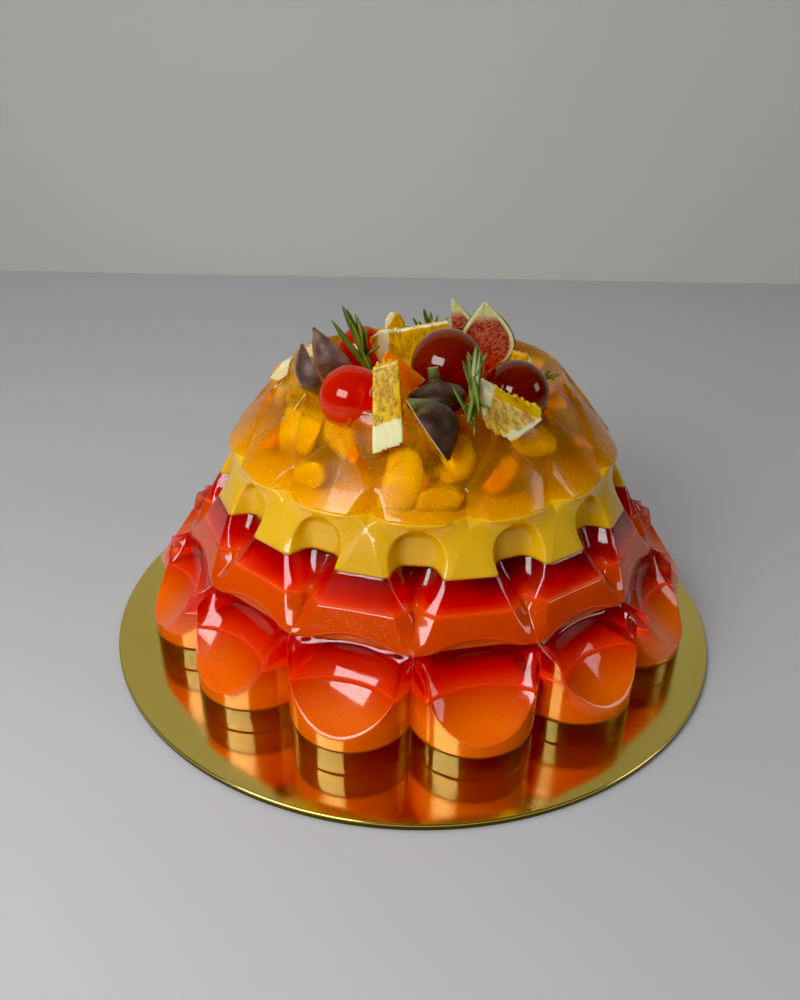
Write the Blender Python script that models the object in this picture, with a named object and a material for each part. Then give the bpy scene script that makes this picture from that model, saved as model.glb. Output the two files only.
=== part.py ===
"""A rainbow jelly dome on a round cake board, with fruit, jelly balls and rosemary on its crown.

Lengths are written in millimetres and scaled to metres at the end of each part. Z is up, the front of
the dish is -Y, and the origin is the middle of the underside of the board.
"""
import bmesh
import bpy
import math
from mathutils import Matrix, Vector

MM = 0.001
WELD = 1e-5

# Board
BOARD_R = 150.0
BOARD_T = 3.0
BOARD_BEVEL = 0.6
BOARD_SIDES = 72
BALL_SIDES = 18
BALL_RINGS = 10

# Where the jelly stands on the board: a little off its middle, as shown
JELLY_X = 2.97
JELLY_Y = 6.22
JELLY_TURN = -2.17

# Layers, heights above the board
LAYERS = (
    ("base_clear", 0.0, 12.6),
    ("coral_lower", 12.6, 33.0),
    ("red_lower", 33.0, 46.5),
    ("coral_upper", 46.5, 59.2),
    ("red_upper", 59.2, 71.9),
    ("yellow_layer", 71.9, 93.0),
    ("amber_top", 93.0, 126.7),
)
GAP = 0.3

# Outline: fourteen lobes, a lobe at every odd multiple of half a step from the front
LOBES = 14
HALF = 180.0 / LOBES
LOBE_RING = 109.7
LOBE_R = 26.7
TIP_ACROSS = 23.2
GAP_TURN = 79.0

# Scoop cut into each lobe: a slanting rim below, an arch above, hollow between
SCOOP_FOOT = 18.7
SCOOP_SLOPE = 1.7
SCOOP_HOLLOW = 6.5
ARCH_TOP = 49.3
ARCH_DROP = 4.0
WALL_TOP_EDGE = 42.0
WALL_TOP_GAP = 44.0
NOTCH_TOP = 48.4

# Shield facet above each scoop: a flat triangle with its apex up
SHIELD_TOP = 89.3
SHIELD_TOP_R = 90.8
SHIELD_LEAN = 0.51
SHIELD_SPREAD = 0.53
POINT_HALF = 0.3

# Channel between two shields: heights and radii of its floor at the gap line, and of the ridge beside it
CHANNEL = (
    (44.0, 117.6), (48.4, 114.1), (56.4, 103.0), (65.0, 94.0),
    (72.0, 89.0), (81.0, 88.8), (84.6, 91.6), (93.0, 92.5),
)
RIDGE = (
    (44.0, 117.6), (48.4, 114.1), (56.4, 104.0), (65.0, 99.0),
    (72.0, 96.5), (84.6, 91.8), (93.0, 92.5),
)

# Teardrop hollow in the channel: heights and half widths of its rim
TEARDROP = (
    (56.4, 0.4), (60.0, 3.5), (67.0, 8.3), (72.0, 10.0),
    (77.0, 10.5), (81.0, 8.8), (84.6, 5.0), (93.0, 5.0),
)
RIM_LEAST = 0.6
RIM_MOST = 0.9
# The hollow's floor, as (column, share of the way out to the rim, share of the depth)
BOWL = ((5, 0.82, 0.72), (6, 0.45, 0.95))

# Panels round the crown, one on each gap, with a valley and then a V facet between them
STEM = ((89.3, 90.8), (93.0, 86.5), (103.5, 83.3))
PANEL = (
    (93.0, 92.5), (96.0, 89.7), (100.0, 86.8), (106.0, 82.8),
    (112.0, 78.0), (117.0, 73.6), (121.0, 70.0), (126.7, 64.5),
)
PANEL_ROUND = 0.4
STEM_HALF = 3.5
STEM_SIDE = 0.5
V_FOOT = 103.5
V_TOP = 119.5
V_HOLLOW = 1.6
V_SIDE = 0.15
V_FILL = 0.93
V_CURVE = 1.15
SHOULDER = 1.6
SHOULDER_SHARE = 0.4
CROWN_R = 64.5
LIP_IN = 61.5
DISH_R = 54.0
DISH_Z = 120.0

# Columns of the outline used here, from the middle of a lobe (0) to the gap line (7)
COLUMNS_LOW = (0, 1, 2, 3, 7)
COLUMNS_HIGH = (0, 3, 4, 5, 7)
LEVELS = {
    "coral_lower": (18.7, 23.5, 28.5),
    "red_lower": (38.0, 42.0, 44.5),
    "coral_upper": (48.4, 50.2, 54.5),
    "red_upper": (65.0,),
    "yellow_layer": (77.0, 81.5, 85.0, 89.3),
    "amber_top": (98.0, 103.5, 108.0, 113.0, 119.5),
}


def along(profile, z):
    """The value of a guide line at a height."""
    if z <= profile[0][0]:
        return profile[0][1]
    for (za, a), (zb, b) in zip(profile, profile[1:]):
        if z <= zb:
            return a + (b - a) * (z - za) / (zb - za)
    return profile[-1][1]


def mix(a, b, u):
    return a + (b - a) * u


def share(z, low, high):
    return min(1.0, max(0.0, (z - low) / (high - low)))


def polar(angle, radius):
    a = math.radians(angle)
    return radius * math.cos(a), radius * math.sin(a)


def shield_point(z, s):
    """Point of the flat shield: along the lobe, and across it."""
    drop = SHIELD_TOP - z
    return SHIELD_TOP_R + SHIELD_LEAN * drop, max(POINT_HALF, SHIELD_SPREAD * drop) * s / 3


def low_point(z, s):
    """Lobe wall, scoop and arch, up to the shield."""
    tip_turn = math.degrees(math.asin(TIP_ACROSS / LOBE_R))
    if s <= 3:
        t = TIP_ACROSS * s / 3
        x = LOBE_RING + math.sqrt(LOBE_R ** 2 - t ** 2)
        foot = SCOOP_FOOT + SCOOP_SLOPE * (LOBE_RING + LOBE_R - x)
        arch = ARCH_TOP - ARCH_DROP * (s / 3) ** 2
        if z <= foot:
            return x, t
        xa, ta = shield_point(arch, s)
        u = share(z, foot, arch)
        hollow = SCOOP_HOLLOW * (1 - (s / 3) ** 2)
        return mix(x, xa, u) - hollow * 4 * u * (1 - u), mix(t, ta, u)
    v = (s - 3) / 4
    turn = math.radians(mix(tip_turn, GAP_TURN, v))
    x, t = LOBE_RING + LOBE_R * math.cos(turn), LOBE_R * math.sin(turn)
    wall = mix(WALL_TOP_EDGE, WALL_TOP_GAP, v)
    top = mix(ARCH_TOP - ARCH_DROP, NOTCH_TOP, v)
    xt, tt = high_point(top, s)
    u = share(z, wall, top)
    return mix(x, xt, u), mix(t, tt, u)


def high_point(z, s):
    """Shield, then the channel with its teardrop hollow."""
    x, t = shield_point(z, min(s, 3))
    if s <= 3:
        return x, t
    edge_r, edge_a = math.hypot(x, t), HALF - math.degrees(math.atan2(t, x))
    floor_r, ridge_r = along(CHANNEL, z), along(RIDGE, z)
    rim_a = math.degrees(along(TEARDROP, z) / ridge_r)
    rim_a = min(RIM_MOST * edge_a, max(RIM_LEAST * edge_a, rim_a))
    rim_r = mix(ridge_r, edge_r, rim_a / edge_a)
    bowl_a = [(column, out * rim_a) for column, out, deep in BOWL]
    bowl_r = [(column, mix(rim_r, floor_r, deep)) for column, out, deep in BOWL]
    a = along(((3, edge_a), (4, rim_a), *bowl_a, (7, 0.0)), s)
    r = along(((3, edge_r), (4, rim_r), *bowl_r, (7, floor_r)), s)
    return polar(HALF - a, r)


def top_point(z, s):
    """Stem valley and V facet on the lobe line, raised panel on the gap line."""
    panel_r = along(PANEL, z)
    u = share(z, V_FOOT, PANEL[-1][0])
    if z < V_FOOT:
        valley_r = along(STEM, z)
        half = mix(STEM_HALF, POINT_HALF, share(z, STEM[1][0], V_FOOT))
        side_r = mix(valley_r, panel_r, STEM_SIDE)
    else:
        valley_r = mix(STEM[-1][1], CROWN_R, u) - V_HOLLOW * 4 * u * (1 - u)
        half = mix(POINT_HALF, V_FILL * HALF, share(z, V_FOOT, V_TOP) ** V_CURVE)
        side_r = mix(valley_r, panel_r, V_SIDE)
    side_r = mix(side_r, CROWN_R, share(z, V_TOP, PANEL[-1][0]))
    shoulder = half + min(SHOULDER, SHOULDER_SHARE * (HALF - half))
    a = along(((0, 0.0), (3, half), (4, shoulder), (7, HALF)), s)
    r = along(((0, valley_r), (3, side_r), (4, panel_r - PANEL_ROUND), (5.5, panel_r), (7, panel_r)), s)
    return polar(a, r)


def outline_point(z, s):
    if z < ARCH_TOP and (s <= 3 or z < NOTCH_TOP):
        arch = ARCH_TOP - ARCH_DROP * (min(s, 3) / 3) ** 2
        if s > 3 or z < arch:
            return low_point(z, s)
    if z <= SHIELD_TOP:
        return high_point(z, s)
    if z < STEM[1][0]:
        u = share(z, SHIELD_TOP, STEM[1][0])
        a, b = high_point(SHIELD_TOP, s), top_point(STEM[1][0], s)
        return mix(a[0], b[0], u), mix(a[1], b[1], u)
    return top_point(z, s)


def ring(z, columns):
    """The whole outline at one height, as a closed run of points."""
    half = [outline_point(z, s) for s in columns]
    points = []
    for lobe in range(LOBES):
        turn = math.radians((2 * lobe + 1) * HALF)
        outward = Vector((math.sin(turn), -math.cos(turn), 0.0))
        across = Vector((math.cos(turn), math.sin(turn), 0.0))
        back = [(x, -t) for x, t in reversed(half[1:])]
        for x, t in back + half[:-1]:
            points.append(outward * x + across * t + Vector((0.0, 0.0, z)))
    return points


def circle(z, radius, like):
    """A round ring whose points stand at the same turns as another ring."""
    out = []
    for p in like:
        d = Vector((p.x, p.y, 0)).normalized()
        out.append(Vector((d.x * radius, d.y * radius, z)))
    return out


def clear_scene():
    for obj in list(bpy.data.objects):
        bpy.data.objects.remove(obj)


def collection(name):
    group = bpy.data.collections.new(name)
    bpy.context.scene.collection.children.link(group)
    return group


def material(name, colour, roughness, transmission=0.0, metallic=0.0):
    mat = bpy.data.materials.new(name)
    mat.use_nodes = True
    shader = mat.node_tree.nodes["Principled BSDF"]
    shader.inputs["Base Color"].default_value = (*colour, 1.0)
    shader.inputs["Roughness"].default_value = roughness
    shader.inputs["Transmission Weight"].default_value = transmission
    shader.inputs["Metallic"].default_value = metallic
    return mat


def new_object(name, bm, mat, group, place=None):
    """Turn a bmesh in millimetres into an object in metres."""
    bmesh.ops.remove_doubles(bm, verts=bm.verts, dist=WELD)
    bmesh.ops.recalc_face_normals(bm, faces=bm.faces)
    bm.transform(Matrix.Scale(MM, 4) @ (place or Matrix.Identity(4)))
    mesh = bpy.data.meshes.new(name)
    bm.to_mesh(mesh)
    bm.free()
    mesh.materials.append(mat)
    obj = bpy.data.objects.new(name, mesh)
    group.objects.link(obj)
    return obj


def on_board():
    """The matrix that stands the jelly and its fruit on the board."""
    turn = Matrix.Rotation(math.radians(JELLY_TURN), 4, "Z")
    return Matrix.Translation((JELLY_X, JELLY_Y, BOARD_T)) @ turn


def loft(rings):
    """Closed skin through rings of equally many points, with flat ends."""
    bm = bmesh.new()
    rows = [[bm.verts.new(p) for p in points] for points in rings]
    count = len(rows[0])
    for low, high in zip(rows, rows[1:]):
        for i in range(count):
            j = (i + 1) % count
            bm.faces.new((low[i], low[j], high[j], high[i]))
    bm.faces.new(tuple(reversed(rows[0])))
    bm.faces.new(rows[-1])
    return bm


def jelly_layer(name, low, high):
    low += GAP / 2
    high -= GAP / 2
    levels = [low, *LEVELS.get(name, ()), high]
    columns = COLUMNS_LOW if high < ARCH_TOP else COLUMNS_HIGH
    rings = [ring(z, columns) for z in levels]
    if name == "amber_top":
        rings.append(circle(high, LIP_IN, rings[-1]))
        rings.append(circle(DISH_Z, DISH_R, rings[-1]))
    return loft(rings)


def board():
    bm = bmesh.new()
    thick = BOARD_T - GAP
    bmesh.ops.create_cone(
        bm, cap_ends=True, segments=BOARD_SIDES, radius1=BOARD_R, radius2=BOARD_R, depth=thick)
    bmesh.ops.translate(bm, verts=bm.verts, vec=(0, 0, thick / 2))
    rim = [e for e in bm.edges if abs(e.verts[0].co.z - e.verts[1].co.z) < WELD]
    bmesh.ops.bevel(bm, geom=rim, offset=BOARD_BEVEL, segments=1, affect="EDGES")
    return bm


def ball(centre, radius):
    bm = bmesh.new()
    bmesh.ops.create_uvsphere(bm, u_segments=BALL_SIDES, v_segments=BALL_RINGS, radius=radius)
    bmesh.ops.translate(bm, verts=bm.verts, vec=centre)
    return bm


def block(front, back):
    """A cut piece between two outlines of equally many corners."""
    return loft(([Vector(p) for p in front], [Vector(p) for p in back]))


def fig(foot, tip, skin, radius, sweep, steps):
    """A piece of fig: the part of a pear shaped body swept round its long axis."""
    foot, tip = Vector(foot), Vector(tip)
    axis = tip - foot
    out = Vector(skin)
    out = (out - axis * out.dot(axis) / axis.length_squared).normalized()
    side = axis.normalized().cross(out)
    rings = []
    for u, width in FIG:
        points = [foot + axis * u]
        for k in range(steps + 1):
            a = math.radians(sweep * (k / steps - 0.5))
            points.append(foot + axis * u + (out * math.cos(a) + side * math.sin(a)) * radius * width)
        rings.append(points)
    return loft(rings)


def needle(base, tip, width):
    """One rosemary leaf: a narrow four sided spindle."""
    base, tip = Vector(base), Vector(tip)
    axis = tip - base
    side = axis.cross(Vector(LEAF_FACES)).normalized()
    out = axis.normalized().cross(side) * LEAF_FLAT
    rings = []
    for u, half in LEAF:
        rings.append([base + axis * u + way * width * half for way in (side, out, -side, -out)])
    return loft(rings)


def sprig(name, stem, tips, width, mat, group, place):
    """A stem with leaves that leave it one after the other, joined into one solid."""
    foot, head = Vector(stem[0]), Vector(stem[1])
    leaves = [needle(foot, head, width * STEM_WIDTH)]
    for k, tip in enumerate(tips):
        start = foot.lerp(head, FIRST_LEAF + LEAF_SPAN * k / (len(tips) - 1))
        leaves.append(needle(start, tip, width))
    pieces = [new_object(name + "_leaf%d" % k, bm, mat, group, place) for k, bm in enumerate(leaves)]
    body = pieces[0]
    body.name = name
    rest = collection(name + "_leaves")
    for piece in pieces[1:]:
        group.objects.unlink(piece)
        rest.objects.link(piece)
    join = body.modifiers.new("join", "BOOLEAN")
    join.operation = "UNION"
    join.operand_type = "COLLECTION"
    join.collection = rest
    join.solver = "EXACT"
    apply_modifiers(body)
    for piece in pieces[1:]:
        bpy.data.objects.remove(piece)
    bpy.data.collections.remove(rest)
    return body


def apply_modifiers(obj):
    view = bpy.context.evaluated_depsgraph_get()
    mesh = bpy.data.meshes.new_from_object(obj.evaluated_get(view))
    obj.modifiers.clear()
    obj.data = mesh


def cut_away(obj, cutters, hidden):
    """Take the space of other pieces, kept a little larger, out of an object."""
    for cutter in cutters:
        cutter.hide_render = True
        cutter.display_type = "WIRE"
        hidden.objects.link(cutter)
        mod = obj.modifiers.new("cut", "BOOLEAN")
        mod.operation = "DIFFERENCE"
        mod.object = cutter
        mod.solver = "EXACT"
    apply_modifiers(obj)
    for cutter in cutters:
        bpy.data.objects.remove(cutter)


# Jelly balls: name, centre, radius
BALLS = (
    ("ball_front", (-30.5, -47.0, 129.0), 12.0),
    ("ball_centre", (10.0, -23.0, 135.3), 15.0),
    ("ball_right", (39.5, -38.0, 129.0), 13.3),
    ("ball_back", (-30.5, 14.0, 128.5), 11.5),
)

# Cut pieces of orange: name, near face, far face
ORANGES = (
    ("orange_front",
     ((-19, -76.5, 114), (-6.5, -75.5, 119), (-9.5, -65, 150), (-19.5, -65, 147)),
     ((-18.5, -66, 128), (-7, -66.5, 129), (-10, -55, 147.5), (-19, -55, 145))),
    ("orange_right",
     ((25.5, -71, 125.5), (37, -69, 118), (50, -57, 123.5), (29.5, -62, 135), (24, -62, 140),
      (20.5, -62, 138.5)),
     ((25.5, -65, 130), (37, -63, 122.5), (50, -51, 128), (29.5, -56, 138), (24, -56, 141),
      (20.5, -56, 140))),
    ("orange_left",
     ((-61, -22, 127.3), (-65, -22, 124.4), (-69, -22, 125.5), (-67, -22, 129.5), (-59, -22, 135)),
     ((-61, -13, 127.3), (-65, -13, 126), (-69, -13, 126.2), (-67, -13, 129.5), (-59, -13, 134))),
    ("orange_between",
     ((-58, 4, 127.3), (-52, 4, 127.3), (-52, 4, 132), (-53.5, 4, 133), (-57.5, 4, 132)),
     ((-58, 12, 127.3), (-52, 12, 127.3), (-52, 12, 131), (-53.5, 12, 132), (-57.5, 12, 131))),
    ("orange_back",
     ((-16, -6, 121), (8, -6, 121), (11.5, -6, 145.5), (10, -6, 149.5), (-14.5, -6, 144.5),
      (-21, -6, 144.5), (-25.5, -6, 140.5), (-24.5, -6, 135.5)),
     ((-14, 4, 121), (8, 4, 121), (11.5, 5, 143), (10, 5, 147), (-14.5, 5, 142), (-19, 5, 142),
      (-22, 4, 139), (-20, 4, 135.5))),
    ("orange_small",
     ((-21, 40, 120.5), (-11, 40, 120.5), (-11, 40, 132.5), (-11.5, 40, 136), (-14, 40, 139.5),
      (-18.5, 40, 140.5), (-21, 40, 136.5)),
     ((-21, 47, 120.5), (-11, 47, 120.5), (-11, 47, 131), (-11.5, 47, 134), (-14, 47, 137.5),
      (-18.5, 47, 138.5), (-21, 47, 134.5))),
    ("orange_far_right",
     ((38, -12, 120.5), (49, -12, 123.5), (49.5, -12, 133.5), (46, -12, 136.5), (40, -12, 138)),
     ((38, -4, 120.5), (49, -4, 123.5), (49.5, -4, 132.5), (46, -4, 135), (40, -4, 136.5))),
)

MANDARIN = (
    ((-5, -42, 129), (2, -41, 133.5), (-10.5, -42, 143.5), (-15.5, -42, 146.5), (-18, -42, 142.5)),
    ((-8, -35, 128), (-5, -35, 133), (-10.5, -35, 141), (-15.5, -35, 144), (-18, -35, 140)),
)

# Half width of a fig from its foot (0) to the end of its stem (1)
FIG = (
    (0.0, 0.10), (0.08, 0.48), (0.22, 0.85), (0.38, 1.0),
    (0.55, 0.88), (0.72, 0.55), (0.86, 0.25), (1.0, 0.12),
)

# Figs: name, foot, stem end, way the skin faces, half width, sweep, steps
FIGS = (
    ("fig_left", (-42.6, -30.6, 125), (-52.5, -29, 144.5), (-0.9, -0.5, 0.0), 8.5, 80, 3),
    ("fig_left_back", (-39, -7, 122), (-51, -6, 144.5), (-0.1, -1.0, 0.3), 12.5, 110, 4),
    ("fig_centre", (6, -50, 124), (4.5, -47, 144), (0.2, -1.0, 0.0), 11.5, 170, 5),
    ("fig_front", (11, -78, 114), (-6, -65, 134), (0.75, -0.55, 0.35), 13.0, 100, 4),
    ("fig_back_left", (14, 23, 121), (12, 23, 152), (0.7, 0.7, 0.0), 13.5, 90, 4),
    ("fig_back_right", (30, 9, 121), (27, 9, 154.5), (0.0, 1.0, 0.0), 14.0, 180, 6),
)

# Rosemary leaf: half width from its foot (0) to its tip (1), how flat it is, and the way across it
LEAF = ((0.0, 0.35), (0.3, 0.5), (0.8, 0.42), (1.0, 0.12))
LEAF_FLAT = 0.6
LEAF_FACES = (0.3, 1.0, 0.2)
STEM_WIDTH = 1.3
FIRST_LEAF = 0.12
LEAF_SPAN = 0.7

# Rosemary: name, stem, leaf tips, leaf width
SPRIGS = (
    ("rosemary_left", ((-22, -17, 124), (-31, -15, 147)),
     ((-41.5, -16, 151.5), (-20, -17, 140.5), (-36.5, -16, 158), (-28, -18, 145), (-31, -14, 154),
      (-33, -17, 152)), 2.6),
    ("rosemary_front", ((21, -76, 124), (19, -59, 149)),
     ((11.5, -66, 141.5), (26.5, -77, 136), (22, -78, 135), (17, -70, 135), (25, -58, 152),
      (17.5, -57, 152), (20.5, -57, 154)), 2.6),
    ("rosemary_back", ((3, 33, 122), (1, 32, 138)),
     ((-7, 32, 140.5), (11, 31, 141), (-4, 34, 138), (5.5, 32, 142), (-1.5, 31, 145)), 2.6),
    ("rosemary_right", ((50, -21, 128), (57, -20, 130.5)), ((60.5, -19, 130.5), (58, -23, 129.5)), 1.8),
)


def build():
    clear_scene()
    dish = collection("rainbow_jelly_dome")
    hidden = collection("cutters")
    hidden.hide_render = True
    stand = on_board()

    gold = material("board_gold", (0.60, 0.45, 0.18), 0.12, metallic=1.0)
    new_object("cake_board", board(), gold, dish)

    looks = {
        "base_clear": (0.85, 0.62, 0.35),
        "coral_lower": (0.80, 0.20, 0.05),
        "red_lower": (0.55, 0.02, 0.01),
        "coral_upper": (0.75, 0.16, 0.04),
        "red_upper": (0.55, 0.02, 0.01),
        "yellow_layer": (0.85, 0.58, 0.12),
        "amber_top": (0.80, 0.42, 0.02),
    }
    layers = {}
    for name, low, high in LAYERS:
        if name in ("coral_lower", "coral_upper", "yellow_layer"):
            jelly = material(name + "_jelly", looks[name], 0.15)
        else:
            jelly = material(name + "_jelly", looks[name], 0.06, transmission=0.9)
        layers[name] = new_object(name, jelly_layer(name, low, high), jelly, dish, stand)

    ruby = material("ball_ruby", (0.60, 0.02, 0.01), 0.05, transmission=0.6)
    sockets = []
    for name, centre, radius in BALLS:
        new_object(name, ball(centre, radius), ruby, dish, stand)
        if centre[2] - radius < DISH_Z:
            sockets.append(new_object(name + "_socket", ball(centre, radius + GAP), ruby, hidden, stand))
    for socket in sockets:
        hidden.objects.unlink(socket)
    cut_away(layers["amber_top"], sockets, hidden)

    pulp = material("orange_pulp", (0.85, 0.50, 0.05), 0.3)
    for name, near, far in ORANGES:
        new_object(name, block(near, far), pulp, dish, stand)
    glazed = material("mandarin_flesh", (0.90, 0.25, 0.02), 0.2)
    new_object("mandarin_piece", block(*MANDARIN), glazed, dish, stand)

    skin = material("fig_skin", (0.08, 0.03, 0.06), 0.4)
    for name, foot, tip, out, radius, sweep, steps in FIGS:
        new_object(name, fig(foot, tip, out, radius, sweep, steps), skin, dish, stand)

    leaf = material("rosemary_leaf", (0.05, 0.14, 0.04), 0.45)
    for name, stem, tips, width in SPRIGS:
        sprig(name, stem, tips, width, leaf, dish, stand)

    bpy.data.collections.remove(hidden)


build()
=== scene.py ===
# %% [markdown]
# A rainbow jelly dome: seven set layers of jelly on a gold cake board, with fruit and jelly balls on its
# crown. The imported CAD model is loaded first. It fixes every size, so each piece made here stands where its
# solid stands.

# %% Load the frame
import math
import random
import bmesh
import bpy
import numpy as np
from mathutils import Matrix, Vector, noise


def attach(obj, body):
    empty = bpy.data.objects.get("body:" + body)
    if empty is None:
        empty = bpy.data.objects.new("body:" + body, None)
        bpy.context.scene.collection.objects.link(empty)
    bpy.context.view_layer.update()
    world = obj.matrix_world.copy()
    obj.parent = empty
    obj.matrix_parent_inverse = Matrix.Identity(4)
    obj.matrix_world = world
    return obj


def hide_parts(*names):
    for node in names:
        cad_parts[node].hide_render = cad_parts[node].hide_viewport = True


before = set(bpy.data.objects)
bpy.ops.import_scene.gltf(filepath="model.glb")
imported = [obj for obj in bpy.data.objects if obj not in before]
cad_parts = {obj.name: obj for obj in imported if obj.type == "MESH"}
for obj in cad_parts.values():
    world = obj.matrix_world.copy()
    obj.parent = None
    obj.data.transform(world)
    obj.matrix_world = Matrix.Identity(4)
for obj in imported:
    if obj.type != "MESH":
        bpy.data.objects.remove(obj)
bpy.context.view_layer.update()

# %% [markdown]
# Everything on the board is drawn in millimetres about the jelly's own middle, with the board's top at
# zero. One matrix then turns, shifts and scales it into the frame, because the jelly stands a little off
# the board's middle.

# %% Units
MM = 0.001
BOARD_R, BOARD_T = 150.0, 3.0
STAND = (Matrix.Scale(MM, 4) @ Matrix.Translation((2.97, 6.22, BOARD_T))
         @ Matrix.Rotation(math.radians(-2.17), 4, "Z"))
ON_BOARD_CENTRE = Matrix.Scale(MM, 4)
print("jelly middle", [round(v, 4) for v in STAND.translation])


# %% Small helpers for numbers
def mix(a, b, u):
    return a + (b - a) * u


def share(x, low, high):
    return min(1.0, max(0.0, (x - low) / (high - low)))


def along(profile, z):
    """The value of a guide line at a height."""
    return float(np.interp(z, [p[0] for p in profile], [p[1] for p in profile]))


def smooth_step(x, low, high):
    u = share(x, low, high)
    return u * u * (3 - 2 * u)


# %% Small helpers for pieces
def tube_faces(rings, sides):
    """Faces of a closed tube whose points come ring by ring, with one face over each end."""
    faces = []
    for j in range(rings - 1):
        for k in range(sides):
            n = (k + 1) % sides
            faces.append((j * sides + k, j * sides + n, (j + 1) * sides + n, (j + 1) * sides + k))
    return faces + [tuple(reversed(range(sides))), tuple(range((rings - 1) * sides, rings * sides))]


def new_object(name, mesh):
    obj = bpy.data.objects.new(name, mesh)
    bpy.context.scene.collection.objects.link(obj)
    return obj


def mesh_from(name, verts, faces):
    mesh = bpy.data.meshes.new(name)
    mesh.from_pydata([tuple(v) for v in verts], [], faces)
    return mesh


def evaluated(obj):
    """Replace an object's mesh by what its modifiers make of it, and drop them."""
    view = bpy.context.evaluated_depsgraph_get()
    mesh = bpy.data.meshes.new_from_object(obj.evaluated_get(view))
    obj.modifiers.clear()
    obj.data = mesh
    return obj


def add_floats(obj, name, values):
    layer = obj.data.attributes.new(name, "FLOAT", "POINT")
    layer.data.foreach_set("value", np.asarray(values, dtype=np.float32))


def points_of(obj):
    flat = np.empty(len(obj.data.vertices) * 3)
    obj.data.vertices.foreach_get("co", flat)
    return flat.reshape(-1, 3)


def move_points(obj, points):
    obj.data.vertices.foreach_set("co", np.asarray(points, dtype=np.float32).ravel())
    obj.data.update()


def outward(obj):
    """Point every face outwards."""
    bm = bmesh.new()
    bm.from_mesh(obj.data)
    bmesh.ops.recalc_face_normals(bm, faces=bm.faces)
    bm.to_mesh(obj.data)
    bm.free()


def settle(obj, mat, place=STAND):
    """Give a finished mesh its material and set it down in the frame."""
    obj.data.materials.clear()
    obj.data.materials.append(mat)
    obj.data.polygons.foreach_set("use_smooth", [True] * len(obj.data.polygons))
    obj.data.transform(place)
    obj.data.update()
    return obj


def declare(obj, slot, *nodes):
    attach(obj, "root")
    if nodes:
        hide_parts(*nodes)
    print(obj.name, len(obj.data.polygons), "faces")
    return obj


# %% [markdown]
# The camera stands close to the cake and looks down on it, which gives the strong perspective of a phone.
# Its place was solved from the round rim of the board and the layer edges, so the render can be laid over
# the photograph.

# %% Camera
FRAME_TALL = 1000
FOCAL_PX = 823.374
CAM_PLACE = (-7.495, -364.794, 254.912)
CAM_DOWN = math.radians(27.997)
CAM_ROLL = math.radians(0.950)
cam_data = bpy.data.cameras.new("camera")
cam_data.lens = FOCAL_PX / FRAME_TALL * cam_data.sensor_width
cam_data.clip_start = 0.01
cam_data.clip_end = 20
camera = new_object("camera", cam_data)
look = Vector((0, math.cos(CAM_DOWN), -math.sin(CAM_DOWN)))
level_up = Vector((1, 0, 0)).cross(look)
cam_x = math.cos(CAM_ROLL) * Vector((1, 0, 0)) + math.sin(CAM_ROLL) * level_up
cam_y = -math.sin(CAM_ROLL) * Vector((1, 0, 0)) + math.cos(CAM_ROLL) * level_up
cam_turn = Matrix((cam_x, cam_y, -look)).transposed().to_4x4()
camera.matrix_world = Matrix.Translation(Vector(CAM_PLACE) * MM) @ cam_turn
bpy.context.scene.camera = camera
print("lens", round(cam_data.lens, 2), "mm")

# %% [markdown]
# A jelly mould repeats one lobe fourteen times. The outline is therefore written once, as a function of the
# height and of a column number that runs from the middle of a lobe (0) to the line between two lobes (7).
# Column 3 is the edge of the scoop and of the shield, and column 4 is the rim of the teardrop. The solids
# follow the same outline with fewer points. Here the scoops are a little deeper and the arch a little
# higher, as in the photograph.

# %% Dimensions of the mould
LOBES = 14
HALF = 180.0 / LOBES
LOBE_RING, LOBE_R, TIP_ACROSS, GAP_TURN = 109.7, 26.7, 23.2, 79.0
SCOOP_FOOT, SCOOP_RISE, SCOOP_ROUND, SCOOP_HOLLOW = 18.7, 22.9, 0.52, 7.0
ARCH_TOP, ARCH_DROP, NOTCH_TOP = 50.3, 5.0, 48.4
UNDERCUT, UNDERCUT_AT, LEDGE = 2.5, (0.87, 0.93), 0.07
WALL_TOP_EDGE, WALL_TOP_GAP = 42.0, 44.0
SHIELD_TOP, SHIELD_TOP_R, SHIELD_LEAN, SHIELD_SPREAD = 89.3, 90.8, 0.51, 0.53
POINT_HALF = 0.3
CHANNEL = ((44.0, 117.6), (48.4, 114.1), (56.4, 103.0), (65.0, 94.0),
           (72.0, 89.0), (80.0, 87.8), (85.0, 88.0), (87.5, 89.3), (89.3, 91.9), (93.0, 92.5))
RIDGE = ((44.0, 117.6), (48.4, 114.1), (56.4, 104.0), (65.0, 99.0),
         (72.0, 96.5), (84.6, 91.8), (93.0, 92.5))
TEARDROP = ((56.4, 0.4), (60.0, 3.5), (67.0, 8.3), (72.0, 10.5),
            (78.0, 11.5), (82.0, 10.8), (85.5, 8.6), (88.0, 5.2), (89.3, 1.5), (93.0, 1.5))
RIM_LEAST, RIM_MOST = 0.08, 0.9
BOWLS = (1.3, 6.0)
STEM = ((89.3, 90.8), (93.0, 86.5), (103.5, 83.3))
PANEL = ((93.0, 93.0), (112.0, 77.5), (121.0, 69.8), (126.7, 64.5))
PANEL_ROUND, STEM_HALF, STEM_SIDE = 0.4, 3.5, 0.5
V_FOOT, V_TOP, V_HOLLOW, V_SIDE, V_FILL, V_CURVE = 103.5, 119.5, 1.6, 0.15, 0.93, 1.15
SHOULDER, SHOULDER_SHARE = 1.6, 0.4
CROWN_R, CROWN_Z, LIP_IN, DISH_R, DISH_Z = 64.5, 126.7, 61.5, 54.0, 120.0
TIP_TURN = math.degrees(math.asin(TIP_ACROSS / LOBE_R))
print("one lobe each", round(2 * HALF, 2), "degrees")


# %% Outline of the mould
def polar(angle, radius):
    a = math.radians(angle)
    return radius * math.cos(a), radius * math.sin(a)


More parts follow.
